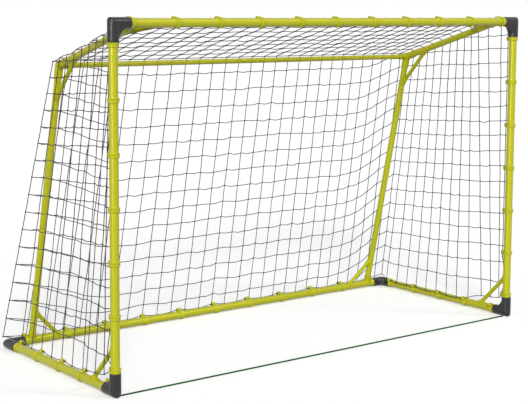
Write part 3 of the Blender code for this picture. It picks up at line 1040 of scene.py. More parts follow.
def elbow_mesh(sizes):
    """The elbow in local space, with a blind socket in each arm."""
    mesh = melt(elbow_stock(sizes), grain=0.0018, passes=7)
    floor = ELBOW_ARM - sizes.socket_depth
    flare = 0.008
    flare_depth = 0.0022
    for arm in (RIGHT, BACK):
        bore = bmesh.new()
        add_rod(bore, POST_RADIUS + GAP, arm * floor, arm * (ELBOW_ARM + 0.01))
        mesh = cut(mesh, bore)
        mouth = bmesh.new()
        start = arm * (ELBOW_ARM - flare_depth)
        add_rod(mouth, POST_RADIUS + GAP, start, start + arm * flare, tip_radius=POST_RADIUS + flare)
        mesh = cut(mesh, mouth)
    return mesh


def build_elbows(sizes, finish):
    """One moulding that is used six times, turned into each corner."""
    mesh = elbow_mesh(sizes)
    for side, sign in SIDES_OF_GOAL:
        inward = RIGHT * -sign
        post = RIGHT * sign * POST_X
        corners = (
            ("top", post + CROSSBAR, inward, -UP),
            ("front", post + BACK * MOUTH_Y + UP * RAIL_Z, BACK, UP),
            ("rear", post + REAR_RAIL, inward, -BACK),
        )
        for where, corner, first_arm, second_arm in corners:
            node = f"{side}_{where}_elbow"
            moulding = placed(mesh, basis(corner, first_arm, second_arm))
            make_piece(f"{node}_moulding", moulding, finish, [node])
    bpy.data.meshes.remove(mesh)


def build_fittings(sizes, finish):
    """Three-way knuckles where roof rail, stanchion and rear bar meet."""
    sleeve = FRAME_TUBE_RADIUS + GAP + sizes.fitting_wall
    bar_sleeve = REAR_BAR_RADIUS + GAP + sizes.fitting_wall
    bead = 0.0024
    arm_start = 0.002
    socket_floor = FRAME_TUBE_RADIUS + 0.003
    cut_end = sizes.fitting_reach + 0.01
    for side, sign in SIDES_OF_GOAL:
        corner = REAR_BAR + RIGHT * sign * SIDE_FRAME_X
        arms = (
            (-ROOF_SLOPE, FRAME_TUBE_RADIUS, sleeve),
            (STANCHION_SLOPE, FRAME_TUBE_RADIUS, sleeve),
            (RIGHT * -sign, REAR_BAR_RADIUS, bar_sleeve),
        )
        stock = bmesh.new()
        bmesh.ops.create_icosphere(
            stock, subdivisions=4, radius=sleeve * 1.01, matrix=Matrix.Translation(corner)
        )
        for direction, _, outer in arms:
            start = corner + direction * arm_start
            add_rod(stock, outer, start, corner + direction * sizes.fitting_reach)
        mesh = melt(stock, grain=0.0015, passes=6)
        for direction, bore, _ in arms:
            cutter = bmesh.new()
            start = corner + direction * socket_floor
            add_rod(cutter, bore + GAP, start, corner + direction * cut_end)
            mesh = cut(mesh, cutter)
        whole = bmesh.new()
        take_mesh(whole, mesh)
        for direction, _, outer in arms:
            rim = corner + direction * (sizes.fitting_reach - bead)
            add_bead(whole, rim, direction, outer - bead * 0.5, bead)
        node = f"{side}_rear_fitting"
        make_piece(f"{node}_knuckle", whole, finish, [node])


def saddle_mesh(sizes):
    """A half ring round a tube along local x, with a sleeve along local y."""
    hug = POST_RADIUS + GAP + sizes.saddle_wall
    sleeve = FRAME_TUBE_RADIUS + GAP + 0.002
    floor = 0.0048
    bead = 0.0020
    bead_sink = 0.0004
    beyond = 0.1
    stock = bmesh.new()
    add_rod(stock, sleeve, BACK * POST_RADIUS * 0.8, BACK * sizes.saddle_reach)
    add_rod(stock, hug, RIGHT * -sleeve * 1.05, RIGHT * sleeve * 1.05)
    mesh = melt(stock, grain=0.0014, passes=6)
    front = bmesh.new()
    half_off = Matrix.Translation((0, -beyond + hug * 0.05, 0))
    bmesh.ops.create_cube(front, size=2 * beyond, matrix=half_off)
    tube = bmesh.new()
    add_rod(tube, POST_RADIUS + GAP, RIGHT * -beyond, RIGHT * beyond)
    bore = bmesh.new()
    add_rod(bore, FRAME_TUBE_RADIUS + GAP, BACK * (POST_RADIUS + floor), BACK * beyond)
    for cutter in (front, tube, bore):
        mesh = cut(mesh, cutter)
    whole = bmesh.new()
    take_mesh(whole, mesh)
    add_bead(whole, BACK * (sizes.saddle_reach - bead), BACK, sleeve - bead_sink, bead)
    return mesh_from(whole, "saddle")


def build_saddles(sizes, finish):
    mesh = saddle_mesh(sizes)
    for side, sign in SIDES_OF_GOAL:
        inset = RIGHT * sign * SIDE_FRAME_X
        saddles = (
            ("roof_saddle", CROSSBAR + inset, ROOF_SLOPE),
            ("foot_saddle", REAR_RAIL + inset, -STANCHION_SLOPE),
        )
        for where, middle, branch in saddles:
            node = f"{side}_{where}"
            copy = placed(mesh, basis(middle, RIGHT, branch))
            make_piece(f"{node}_casting", copy, finish, [node])
    bpy.data.meshes.remove(mesh)


# Where the braces meet their tubes, from the corner of the tube axes
ROOF_BRACE_REACH = 0.210
REAR_TOP_BRACE_REACH = 0.205
REAR_FOOT_BRACE_REACH = 0.190
FRONT_FOOT_BRACE_REACH = 0.245

# How far a brace's tube stops short of the tube axes, and the size of a shoe's lug
BRACE_INSET = 0.030
LUG_SIZE = (0.013, 0.006, 0.012)


def shoe_mesh(sizes, end, direction, radius, inward):
    """A curved shoe that a brace ends in, melted to a flared neck, with a lug on its far end."""
    facing = (inward - direction * inward.dot(direction)).normalized()
    middle = end + direction * direction.dot(inward) * radius / inward.dot(facing)
    wall = 0.0034
    overlap = 0.003
    spread = math.radians(60)
    neck_length = 0.058
    neck_flare = 0.0075
    neck_collar = 0.0012
    lug_inset = 0.006
    outline = arc((0, 0), radius + wall, math.pi / 2 - spread, math.pi / 2 + spread, 20)
    outline += arc((0, 0), radius - overlap, math.pi / 2 + spread, math.pi / 2 - spread, 20)
    shell = plate(outline, sizes.shoe_length)
    matrix = basis(middle, facing.cross(direction), facing)
    bmesh.ops.transform(shell, verts=shell.verts, matrix=matrix)
    tube_radius = sizes.brace_diameter / 2
    neck_end = end + inward.normalized() * neck_length
    add_rod(shell, tube_radius + neck_flare, end, neck_end, 40, tip_radius=tube_radius + neck_collar)
    lug_place = middle + direction * (sizes.shoe_length / 2 - lug_inset) + facing * (radius + wall)
    lug = bmesh.new()
    bmesh.ops.create_cube(lug, size=1, matrix=Matrix.Diagonal((*LUG_SIZE, 1)))
    bevel_edges(lug, lug.edges[:], 0.0018, 3)
    lug_turn = basis(lug_place, facing.cross(direction), facing)
    bmesh.ops.transform(lug, verts=lug.verts, matrix=lug_turn)
    add_copy(shell, lug)
    mesh = melt(shell, grain=0.0013, passes=5)
    tube = bmesh.new()
    reach = direction * 2 * sizes.shoe_length
    add_rod(tube, radius + GAP, end - reach, end + reach)
    return cut(mesh, tube)


def build_brace(sizes, node, corner, first, second, reach, finish):
    """A tube across a corner. first and second are each a direction from the corner and a tube radius."""
    ends = [corner + first[0] * reach, corner + second[0] * reach]
    run = ends[1] - ends[0]
    whole = bmesh.new()
    inset = run.normalized() * BRACE_INSET
    add_rod(whole, sizes.brace_diameter / 2, ends[0] + inset, ends[1] - inset, 48)
    for end, (direction, radius), inward in zip(ends, (first, second), (run, -run)):
        take_mesh(whole, shoe_mesh(sizes, end, direction, radius, inward))
    make_piece(f"{node}_strut", whole, finish, [node])


def build_braces(sizes, finish):
    for side, sign in SIDES_OF_GOAL:
        inward = RIGHT * -sign
        inset = RIGHT * sign * SIDE_FRAME_X
        front_foot = Vector((sign * POST_X, MOUTH_Y, RAIL_Z))
        braces = (
            ("roof", CROSSBAR + inset, (inward, POST_RADIUS), (ROOF_SLOPE, FRAME_TUBE_RADIUS),
             ROOF_BRACE_REACH),
            ("rear_top", REAR_BAR + inset, (-ROOF_SLOPE, FRAME_TUBE_RADIUS),
             (STANCHION_SLOPE, FRAME_TUBE_RADIUS), REAR_TOP_BRACE_REACH),
            ("rear_foot", REAR_RAIL + inset, (inward, POST_RADIUS),
             (-STANCHION_SLOPE, FRAME_TUBE_RADIUS), REAR_FOOT_BRACE_REACH),
            ("front_foot", front_foot, (BACK, POST_RADIUS), (UP, POST_RADIUS), FRONT_FOOT_BRACE_REACH),
        )
        for where, corner, first, second, reach in braces:
            build_brace(sizes, f"{side}_{where}_brace", corner, first, second, reach, finish)


def clip_mesh(sizes, flange_radius, flange_side):
    """A ring with a flange on one rim and a curled hook on local +y that opens towards local +x."""
    ring = bmesh.new()
    bore = POST_RADIUS + GAP
    half = CLIP_WIDTH / 2
    waist = flange_radius - 0.0026
    low = flange_radius - 0.0036
    profile = [
        (bore, -half + 0.0008),
        (bore + 0.0008, -half),
        (low - 0.0014, -half),
        (low, -half + 0.0014),
        (low + 0.0006, -half * 0.6),
        (waist, 0),
        (waist, half - 0.0072),
        (flange_radius - 0.0012, half - 0.0054),
        (flange_radius, half - 0.0036),
        (flange_radius, half - 0.0018),
        (flange_radius - 0.0010, half - 0.0004),
        (flange_radius - 0.0026, half),
        (bore + 0.0008, half),
        (bore, half - 0.0008),
    ]
    spin_profile(ring, [(radius, height * flange_side) for radius, height in profile], 48)
    add_copy(ring, hook_bmesh(sizes))
    return mesh_from(ring, "clip")


def hook_bmesh(sizes):
    """A stem that leaves the ring on one side and curls over into a bar with a turned-in lip."""
    thick = sizes.hook_thickness
    side = -sizes.hook_width / 2
    reach = sizes.hook_reach
    lip = 0.0052
    outer_round = 0.0055
    inner_round = outer_round - thick + 0.0015
    root = POST_RADIUS + 0.0015
    right = sizes.hook_width / 2
    outer = [(side, root)]
    outer += arc((side + outer_round, reach - outer_round), outer_round, math.pi, math.pi / 2, 6)
    outer += arc((right - outer_round, reach - outer_round), outer_round, math.pi / 2, 0, 6)
    outer += arc((right - thick / 2, reach - thick - lip), thick / 2, 0, -math.pi, 6)
    under = reach - thick
    inner = arc((right - thick - inner_round, under - inner_round), inner_round, 0, math.pi / 2, 4)
    inner += arc((side + thick + inner_round, under - inner_round), inner_round, math.pi / 2, math.pi, 4)
    inner += [(side + thick, root)]
    hook = plate(outer + inner, CLIP_WIDTH)
    rims = [e for e in hook.edges if abs(abs(e.verts[0].co.z) - CLIP_WIDTH / 2) < 1e-5
            and abs(e.verts[0].co.z - e.verts[1].co.z) < 1e-5]
    bevel_edges(hook, rims, 0.0009, 2)
    return hook


# Room between a hook's bar and the rope in it
HOOK_CLEARANCE = 0.0005


def rope_offset(clips):
    """Distance from a tube's axis to the rope in the hooks on it."""
    return clips.hook_reach - clips.hook_thickness - clips.rope_diameter / 2 - HOOK_CLEARANCE


def even_places(start, end, count):
    return [start + (end - start) * number / (count - 1) for number in range(count)]


class ClipRow:
    """The clips of one rail: their places, the way their hooks point and where the rope lies."""

    def __init__(self, clips, start, end, hook, open_side):
        count = round((end - start).length / clips.spacing) + 1
        self.places = even_places(start, end, count)
        self.hook = hook
        self.open_side = open_side
        self.rope_places = [place + hook * rope_offset(clips) for place in self.places]

    def matrices(self):
        return [basis(place, self.open_side, self.hook) for place in self.places]


def clip_rows(clips):
    """The four rails that carry a row of clips each."""
    reach = RIGHT * (POST_X - CLIP_END)
    crossbar = ClipRow(
        clips, CROSSBAR - reach, CROSSBAR + reach, CROSSBAR_HOOK, RIGHT.cross(CROSSBAR_HOOK)
    )
    rear = ClipRow(clips, REAR_RAIL - reach, REAR_RAIL + reach, REAR_HOOK, -RIGHT.cross(REAR_HOOK))
    rows = {"crossbar_clips": crossbar, "rear_rail_clips": rear}
    for side, sign in SIDES_OF_GOAL:
        front = Vector((sign * POST_X, MOUTH_Y + CLIP_END, RAIL_Z))
        back = Vector((sign * POST_X, REAR_RAIL.y - CLIP_END, RAIL_Z))
        hook = lifted(RIGHT * -sign, GROUND_HOOK_LIFT)
        rows[f"{side}_rail_clips"] = ClipRow(clips, front, back, hook, BACK.cross(hook) * -sign)
    return rows


def build_clips(sizes, finish):
    meshes = {}
    for flange_side in (-1, 1):
        meshes["high", flange_side] = clip_mesh(sizes, sizes.flange_radius, flange_side)
    meshes["ground", 1] = clip_mesh(sizes, sizes.ground_flange_radius, 1)
    for side, sign in SIDES_OF_GOAL:
        for number in range(1, POST_CLIPS + 1):
            node = f"{side}_post_clip_{number}"
            place = Vector((sign * POST_X, MOUTH_Y, box_middle(node).z))
            copy = placed(meshes["high", sign], basis(place, RIGHT * sign, BACK))
            make_piece(f"{node}_ring", copy, finish, [node], sharp=50)
    for node, row in clip_rows(sizes).items():
        mesh = meshes["high", 1] if node == "crossbar_clips" else meshes["ground", 1]
        whole = bmesh.new()
        for matrix in row.matrices():
            take_mesh(whole, placed(mesh, matrix))
        make_piece(f"{node}_rings", whole, finish, [node], sharp=50)
    for mesh in meshes.values():
        bpy.data.meshes.remove(mesh)


# Ropes and net

# How far a post's rope goes on past its last hooks, how far the net pulls the crossbar's rope back
# between two hooks, and how far the ground rails' ropes hang there
ROPE_TAIL = 0.012
ROPE_PULL = 0.010
ROPE_SAG = 0.012

# A post's rope: how far it lies inwards of the axis in the hooks and outwards beside the brace, and how
# far it stays straight past a hook's middle, past the lowest hook's, and above and below the brace
POST_ROPE_IN = 0.0022
POST_ROPE_ASIDE = 0.0202
HOOK_HOLD = 0.017
FOOT_HOOK_HOLD = 0.014
BRACE_CLEARANCE = 0.030

# The rear rope over an elbow: its distance from the rail's axis and from the corner
OVER_ELBOW = 0.045
FROM_CORNER = 0.05

# The net's rear corners on the ground, from the corner of the rails' axes
CORNER_OUT = 0.0276
CORNER_LIFT = 0.0426

# Points of the border, as steps outwards, back and up: from the front corner of a side rail's axis,
# from its rear corner, and from the corner of the crossbar's axis behind a top elbow
FRONT_BORDER = (
    (0.012, 0.045, 0.098),
    (0.020, 0.090, 0.076),
    (0.022, 0.160, 0.067),
    (0.021, 0.240, 0.061),
    (0.006, 0.300, 0.050),
)
REAR_BORDER = ((-0.022, -0.060, 0.036), (0.004, -0.020, 0.042))
ELBOW_BORDER = ((-0.088, 0.0455, -0.004), (-0.035, 0.0455, -0.026), (-0.008, 0.044, -0.056))

# The net's lift off the roof rails, and the step from the crossbar's axis to where the roof net starts
NET_LIFT = 0.0285
NET_START = Vector((0, 0.0485, 0.0275))

# The fold beside a roof rail: its stretches, its hang, the rise and length of its arcs, and how far
# behind the mouth one of them starts
FOLD_STEPS = 60
FOLD_SAG = 0.021
ARC_RISE = 0.010
ARC_LENGTH = 0.19
ARC_START = 0.273

# How far the columns slide to the right at the fold and at the ground
TOP_SLIDE = 0.085
FOOT_SLIDE = 0.148

# Side columns: the last one's distance behind the posts, and the knee that the front ones have
LAST_COLUMN = 0.082
KNEE_OUT = 0.095
KNEE_DROP = 0.050
KNEE_START = 0.17
KNEE_SPAN = 0.09

# The shortest knee that shows, and how far below a knee the first row's knots lie at least
SHORTEST_KNEE = 0.02
KNEE_ROOM = 0.012

# Height of a row of cells above the fold, and how far the side rows rise from the rear to the post
ROW_HEIGHT = 0.088
ROW_RISE = 0.057

# Cells of the left and of the right side from the rear to the post
SIDE_CELLS = {-1: 11, 1: 13}

# Where a roof row lies on a roof rail: its room above the tube, and its distance outwards of the axis
RAIL_ROOM = 0.0016
RAIL_ASIDE = 0.006


def stepped(place, sign, steps):
    """Points at some steps outwards, back and up from a place on one side of the goal."""
    return [place + Vector((sign * out, back, up)) for out, back, up in steps]


def rope_over_hooks(places, shift):
    """Rope points that lie in each hook and move off by some way between two hooks."""
    points = []
    for start, end in zip(places, places[1:]):
        run = end - start
        hold = run.normalized() * CLIP_WIDTH * 0.5
        middle = (start + end) / 2
        points += [start, start + hold, middle - run * 0.2 + shift * 0.8]
        points += [middle + run * 0.2 + shift * 0.8, end - hold]
    return points + [places[-1]]


def rear_corner(sign):
    """Where the net's rear corner meets the ground, outside the rear elbow."""
    return Vector((sign * (POST_X + CORNER_OUT), REAR_RAIL.y + CORNER_OUT, RAIL_Z + CORNER_LIFT))


def rear_rope(rows):
    """The border behind the rear rail, from the left corner to the right corner."""
    hooks = rows["rear_rail_clips"].rope_places
    inner = rope_over_hooks(hooks, -UP * ROPE_SAG)
    over_elbow = REAR_HOOK * OVER_ELBOW
    left = REAR_RAIL + over_elbow - RIGHT * (POST_X - FROM_CORNER)
    right = REAR_RAIL + over_elbow + RIGHT * (POST_X - FROM_CORNER)
    return [rear_corner(-1), left, *inner, right, rear_corner(1)]


def side_rope(rows, side, sign):
    """The border on a side rail: in the hooks, then outside the brace's foot and up to the post."""
    hooks = rows[f"{side}_rail_clips"].rope_places[1:]
    inner = rope_over_hooks(hooks, -UP * ROPE_SAG)
    front = stepped(Vector((sign * POST_X, MOUTH_Y, RAIL_Z)), sign, FRONT_BORDER)
    rear = stepped(REAR_RAIL + RIGHT * sign * POST_X, sign, REAR_BORDER)
    return front + inner + rear + [rear_corner(sign)]


def post_rope(clips, sign):
    """Straight through the hooks of a post, but round the brace between the two lowest clips."""
    foot = box_middle("right_post_clip_1").z
    second = box_middle("right_post_clip_2").z
    head = box_middle(f"right_post_clip_{POST_CLIPS}").z
    behind = rope_offset(clips)
    in_hook = Vector((sign * (POST_X - POST_ROPE_IN), MOUTH_Y + behind, 0))
    beside = Vector((sign * (POST_X + POST_ROPE_ASIDE), MOUTH_Y + behind, 0))
    crossing = RAIL_Z + FRONT_FOOT_BRACE_REACH - behind
    return [
        in_hook + UP * (foot - ROPE_TAIL),
        in_hook + UP * (foot + FOOT_HOOK_HOLD),
        beside + UP * (crossing - BRACE_CLEARANCE),
        beside + UP * (crossing + BRACE_CLEARANCE),
        in_hook + UP * (second - HOOK_HOLD),
        in_hook + UP * (second + HOOK_HOLD),
        in_hook + UP * ((second + head) / 2),
        in_hook + UP * (head - HOOK_HOLD),
        in_hook + UP * (head + ROPE_TAIL),
    ]


def point_at(route, axis, value):
    """The point of a route where one of its coordinates has a value."""
    ordered = route if route[0][axis] < route[-1][axis] else route[::-1]
    for start, end in zip(ordered, ordered[1:]):
        if start[axis] <= value <= end[axis] and end[axis] > start[axis]:
            return share_between(start, end, (value - start[axis]) / (end[axis] - start[axis]))
    return (ordered[0] if value < ordered[0][axis] else ordered[-1]).copy()


def behind_elbow(sign, post_head):
    """The border from the crossbar's last hook round behind the top elbow to the post's top hook."""
    return stepped(CROSSBAR + RIGHT * sign * POST_X, sign, ELBOW_BORDER) + [post_head]


def crossbar_rope(rows, post_heads):
    """Through the hooks of the crossbar and down behind both elbows to the posts' ropes."""
    hooks = rows["crossbar_clips"].rope_places
    left = behind_elbow(-1, post_heads["left"])
    right = behind_elbow(1, post_heads["right"])
    return [*reversed(left), *rope_over_hooks(hooks, BACK * ROPE_PULL), *right]


def rope_routes(clips):
    rows = clip_rows(clips)
    routes = {"rear": smooth_route(rear_rope(rows), 5)}
    post_heads = {}
    for side, sign in SIDES_OF_GOAL:
        routes[f"{side}_side"] = smooth_route(side_rope(rows, side, sign), 5)
        routes[f"{side}_post"] = smooth_route(post_rope(clips, sign), 6)
        post_heads[side] = routes[f"{side}_post"][-1]
    routes["crossbar"] = smooth_route(crossbar_rope(rows, post_heads), 5)
    return routes


def build_ropes(clips, finish):
    for where, route in rope_routes(clips).items():
        bm = cords_to_bmesh([route], clips.rope_diameter, 2)
        nodes = [f"{where}_rope"] if where.endswith("post") else []
        make_piece(f"{where}_border_rope", bm, finish, nodes, sharp=60)


def crowding(share, lean):
    """How much the columns at a share of the width have slid to the right."""
    return math.sin(math.pi * min(max(share, 0.0), 1.0) ** lean) ** 0.6


def ease(share):
    """A smooth step from 0 to 1."""
    share = min(max(share, 0.0), 1.0)
    return share * share * (3 - 2 * share)


class NetBag:
    """The knots of the net, all from the fold lines and the border ropes."""

    def __init__(self, net, clips):
        self.net = net
        self.routes = rope_routes(clips)
        self.random = random.Random(net.seed)
        noise.seed_set(net.seed)
        self.fold_x = SIDE_FRAME_X + NET_LIFT
        self.fold = REAR_BAR + ROOF_SLOPE * NET_LIFT * 0.5 + ROOF_UP * NET_LIFT
        self.front = CROSSBAR + NET_START
        self.folds = {
            sign: [self.fold_point(sign, step / FOLD_STEPS) for step in range(FOLD_STEPS + 1)]
            for _, sign in SIDES_OF_GOAL
        }

    def fold_point(self, sign, deep):
        """The fold beside a roof rail, from the crossbar to the rear. It hangs in shallow arcs."""
        y = share_between(self.front.y, self.fold.y, deep)
        z = share_between(self.front.z, self.fold.z, deep)
        sag = FOLD_SAG * math.sin(math.pi * deep) ** 0.7 if 0 < deep < 1 else 0.0
        wave = abs(math.sin(math.pi * (y - MOUTH_Y - ARC_START) / ARC_LENGTH))
        rise = ARC_RISE * wave * min(1.0, 8 * deep * (1 - deep))
        return Vector((sign * self.fold_x, y, z - sag + rise))

    def corner_level(self, row):
        """Share of the height from the fold to the ground at a row, in the rear corners."""
        share = row / self.net.rows
        return 0.88 * share + 0.12 * share * share

    def middle_level(self, row):
        """The same in the middle of the rear side, where each row hangs about one cell lower."""
        return (row + 0.87) / (self.net.rows - 0.42)

    def rear_level(self, column, row):
        """The rear rows come down from both corners and run level in between."""
        share = column / self.net.columns
        inward = ease(min(share, 1 - share) / 0.19)
        return share_between(self.corner_level(row), self.middle_level(row), inward)

    def stray(self, place, out, size=1.0):
        """A small steady wander of a knot, mostly up or down and never towards the frame."""
        wander = noise.noise_vector(place * 6.1) * self.net.wander * size
        wander.x *= 0.35
        wander.y *= 0.35
        inward = min(0.0, wander.dot(out))
        return wander - out * inward

    def roof_point(self, column, row):
        share = column / self.net.columns
        deep = row / self.net.roof_rows
        if column in (0, self.net.columns):
            return self.fold_point(-1 if column == 0 else 1, deep)
        x = self.column_x(share, True)
        start = point_at(self.routes["crossbar"], 0, x)
        return share_between(start, Vector((x, self.fold.y, self.fold.z)), deep)

    def over_rail(self, sign, y):
        """Where a roof row lies on a roof rail."""
        axis = share_between(CROSSBAR, REAR_BAR, (y - CROSSBAR.y) / (REAR_BAR.y - CROSSBAR.y))
        lift = FRAME_TUBE_RADIUS + self.net.cord_diameter / 2 + RAIL_ROOM
        return axis + RIGHT * sign * (SIDE_FRAME_X + RAIL_ASIDE) + ROOF_UP * lift

    def column_x(self, share, top):
        half = self.fold_x if top else POST_X + CORNER_OUT
        slide = TOP_SLIDE * crowding(share, 1.6) if top else FOOT_SLIDE * crowding(share, 0.9)
        return half * (2 * share - 1) + slide

    def rear_line(self, column):
        """Both ends of a rear column."""
        share = column / self.net.columns
        top = Vector((self.column_x(share, True), self.fold.y, self.fold.z))
        x = self.column_x(share, False)
        return top, point_at(self.routes["rear"], 0, x)

    def side_line(self, sign, column):
        """Top, knee and foot of a side column. Column 0 is at the rear corner."""
        corner = rear_corner(sign)
        share = column / (SIDE_CELLS[sign] - 1)
        last = MOUTH_Y + LAST_COLUMN
        uneven = 0.007 * math.sin(9 * share) * (1 - share)
        top_y = last + (self.fold.y - last) * max(0.0, 1 - share) ** 1.08 + uneven
        top = self.fold_point(sign, (top_y - self.front.y) / (self.fold.y - self.front.y))
        outward = ease((MOUTH_Y + KNEE_START - top_y) / KNEE_SPAN)
        knee = top + Vector((sign * KNEE_OUT, 0, -KNEE_DROP)) * outward
        low_y = last + (corner.y - last) * max(0.0, 1 - share) ** 1.1 - uneven
        return top, knee, point_at(self.routes[f"{side_name(sign)}_side"], 1, low_y)

    def side_height(self, sign, column, row):
        """Height of a side row, which rises a little towards the post."""
        share = column / SIDE_CELLS[sign]
        if row < 0:
            height = self.fold.z - row * ROW_HEIGHT
        else:
            height = share_between(self.fold.z, rear_corner(sign).z, self.corner_level(row))
        return height + ROW_RISE * share * min(1.0, (self.net.rows - row) / 2)

    def post_point(self, sign, height):
        """A point of the side net's front edge: on the post's rope, then on the border behind the elbow."""
        rope = self.routes[f"{side_name(sign)}_post"]
        if height <= rope[-1].z:
            return point_at(rope, 2, height)
        return point_at([rope[-1], *reversed(behind_elbow(sign, rope[-1])[:-1])], 2, height)

    def side_point(self, sign, column, row):
        """A knot of a side net, or None where the row is above the fold."""
        height = self.side_height(sign, column, row)
        if column == SIDE_CELLS[sign]:
            return self.post_point(sign, height)
        top, knee, low = self.side_line(sign, column)
        if row == self.net.rows:
            return low
        if height > knee.z - KNEE_ROOM:
            return None
        return share_between(knee, low, (knee.z - height) / (knee.z - low.z))


def slack_row(bag, points):
    """A row through its knots: it steps at a knot and hangs a little between two."""
    route = [points[0]]
    for number, (start, end) in enumerate(zip(points, points[1:])):
        run = end - start
        slack = min(bag.net.slack, run.length * 0.1)
        sag = bag.random.uniform(-0.25, 1.0) * slack
        tilt = bag.random.uniform(-1.0, 1.0) * slack * 0.25
        step = run * 0.1
        if number:
            route.append(start + step - UP * tilt)
        route.append((start + end) / 2 - UP * sag)
        if number < len(points) - 2:
            route.append(end - step + UP * tilt)
    route.append(points[-1])
    return route


def slack_column(bag, points):
    route = [points[0]]
    for start, end in zip(points, points[1:]):
        bow = noise.noise_vector((start + end) * 9.7) * bag.net.slack * 0.35
        bow.z = 0
        route += [(start + end) / 2 + bow, end]
    return route


def add_knots(bm, places, size):
    """Small knots of a few faces, each turned its own way."""
    knots = bmesh.new()
    for number, place in enumerate(places):
        turn = Matrix.Rotation(number * 2.4, 4, "Z") @ Matrix.Rotation(0.6, 4, "X")
        matrix = Matrix.Translation(place) @ turn @ Matrix.Diagonal((1.15, 0.85, 1.0, 1))
        bmesh.ops.create_uvsphere(knots, u_segments=7, v_segments=5, radius=size, matrix=matrix)
    add_copy(bm, knots)


def net_piece(bag, name, rows, columns, knots, finish):
    routes = [smooth_route(row, 3) for row in rows] + [smooth_route(column, 4) for column in columns]
    bm = cords_to_bmesh(routes, bag.net.cord_diameter, 1)
    add_knots(bm, knots, bag.net.cord_diameter * 0.95)
    make_piece(f"{name}_mesh", bm, finish, [name], sharp=75)


def build_net(net, clips, finish):
    bag = NetBag(net, clips)
    rear = rear_knots(bag)
    build_roof_net(bag, finish)
    build_rear_net(bag, rear, finish)
    for side, sign in SIDES_OF_GOAL:
        build_side_net(bag, side, sign, rear, finish)


def rear_knots(bag):
    """Knots of the rear side by column and row. Row -1 is the fold, and the last is the border."""
    net = bag.net
    knots = {}
    for column in range(net.columns + 1):
        corner = column in (0, net.columns)
        top, low = bag.rear_line(column)
        knots[column, -1] = top
        knots[column, net.rows] = low
        for row in range(net.rows):
            level = bag.rear_level(column, row)
            if level < 0.985:
                place = share_between(top, low, level)
                free = min(1.0, 12 * level)
                knots[column, row] = place + bag.stray(place, REAR_OUT, free * (0.3 if corner else 1.0))
    return knots


def row_stretches(knots, columns, row, border):
    """The runs of a row's knots. A row that comes down to the border ends there."""
    found = [knots.get((column, row)) for column in range(columns + 1)]
    if None not in found:
        return [found]
    first = found.index(None)
    last = columns - found[::-1].index(None)
    return [found[:first] + [knots[first, border]], [knots[last, border]] + found[last + 1:]]


def build_rear_net(bag, knots, finish):
    net = bag.net
    rows = [[knots[column, -1] for column in range(net.columns + 1)]]
    for row in range(net.rows):
        rows += [slack_row(bag, run) for run in row_stretches(knots, net.columns, row, net.rows)]
    columns = []
    for column in range(net.columns + 1):
        start = 0 if column in (0, net.columns) else -1
        points = [knots[column, row] for row in range(start, net.rows + 1) if (column, row) in knots]
        columns.append(slack_column(bag, points))
    net_piece(bag, "rear_net", rows, columns, list(knots.values()), finish)


def build_roof_net(bag, finish):
    net = bag.net
    knots = {}
    for column in range(net.columns + 1):
        for row in range(net.roof_rows + 1):
            place = bag.roof_point(column, row)
            if 0 < row < net.roof_rows and 0 < column < net.columns:
                place = place + bag.stray(place, ROOF_UP, 0.8)
            knots[column, row] = place
    rows = []
    for row in range(1, net.roof_rows):
        points = [knots[column, row] for column in range(net.columns + 1)]
        inner = slack_row(bag, points[1:-1])
        ends = [
            (bag.over_rail(sign, share_between(edge.y, near.y, 0.22)), edge)
            for sign, edge, near in ((-1, points[0], points[1]), (1, points[-1], points[-2]))
        ]
        rows.append([ends[0][1], ends[0][0], *inner, *ends[1]])
    columns = []
    for column in range(net.columns + 1):
        if column in (0, net.columns):
            columns.append(bag.folds[-1 if column == 0 else 1])
        else:
            columns.append(slack_column(bag, [knots[column, row] for row in range(net.roof_rows + 1)]))
    net_piece(bag, "roof_net", rows, columns, list(knots.values()), finish)


def build_side_net(bag, side, sign, rear, finish):
    net = bag.net
    cells = SIDE_CELLS[sign]
    corner_column = 0 if sign < 0 else net.columns
    knots = {}
    for column in range(1, cells + 1):
        for row in range(-2, net.rows + 1):
            place = bag.side_point(sign, column, row)
            if place is None:
                continue
            if column < cells and row < net.rows:
                place = place + bag.stray(place, RIGHT * sign)
            knots[column, row] = place
    for row in range(net.rows + 1):
        knots[0, row] = rear[corner_column, row]
    rows = []
    for row in range(-2, net.rows):
        points = [knots[column, row] for column in range(cells + 1) if (column, row) in knots]
        if row < 0:
            first = next(column for column in range(1, cells + 1) if (column, row) in knots)
            points.insert(0, point_at(bag.folds[sign], 2, bag.side_height(sign, first - 0.6, row)))
        rows.append(slack_row(bag, points))
    columns = []
    for column in range(1, cells):
        top, knee, low = bag.side_line(sign, column)
        points = [knots[column, row] for row in range(-2, net.rows + 1) if (column, row) in knots]
        if (knee - top).length > SHORTEST_KNEE:
            points.insert(0, knee)
        columns.append(slack_column(bag, [top, *points]))
    columns.append([bag.folds[sign][0], *behind_elbow(sign, knots[cells, 0])[:2]])
    net_piece(bag, f"{side}_net", rows, columns, list(knots.values()), finish)


# Operators


class GOAL_OT_studio(bpy.types.Operator):
    """Make the camera, the floor and the lights"""

    bl_idname = "goal.studio"
    bl_label = "Studio"

    def execute(self, context):
        build_studio(context.scene.goal_studio)
        return {"FINISHED"}


class GOAL_OT_line_cord(bpy.types.Operator):
    """Lay the cord on the goal line"""

    bl_idname = "goal.line_cord"
    bl_label = "Goal Line Cord"

    def execute(self, context):
        build_line_cord(context.scene.goal_finishes.line)
        return {"FINISHED"}


class GOAL_OT_tubes(bpy.types.Operator):
    """Make the posts, the bars, the rails and the stanchions"""

    bl_idname = "goal.tubes"
    bl_label = "Tubes"

    def execute(self, context):
        finish = coating_finish(context.scene.goal_finishes.coating)
        build_tubes(context.scene.goal_tubes, finish)
        return {"FINISHED"}


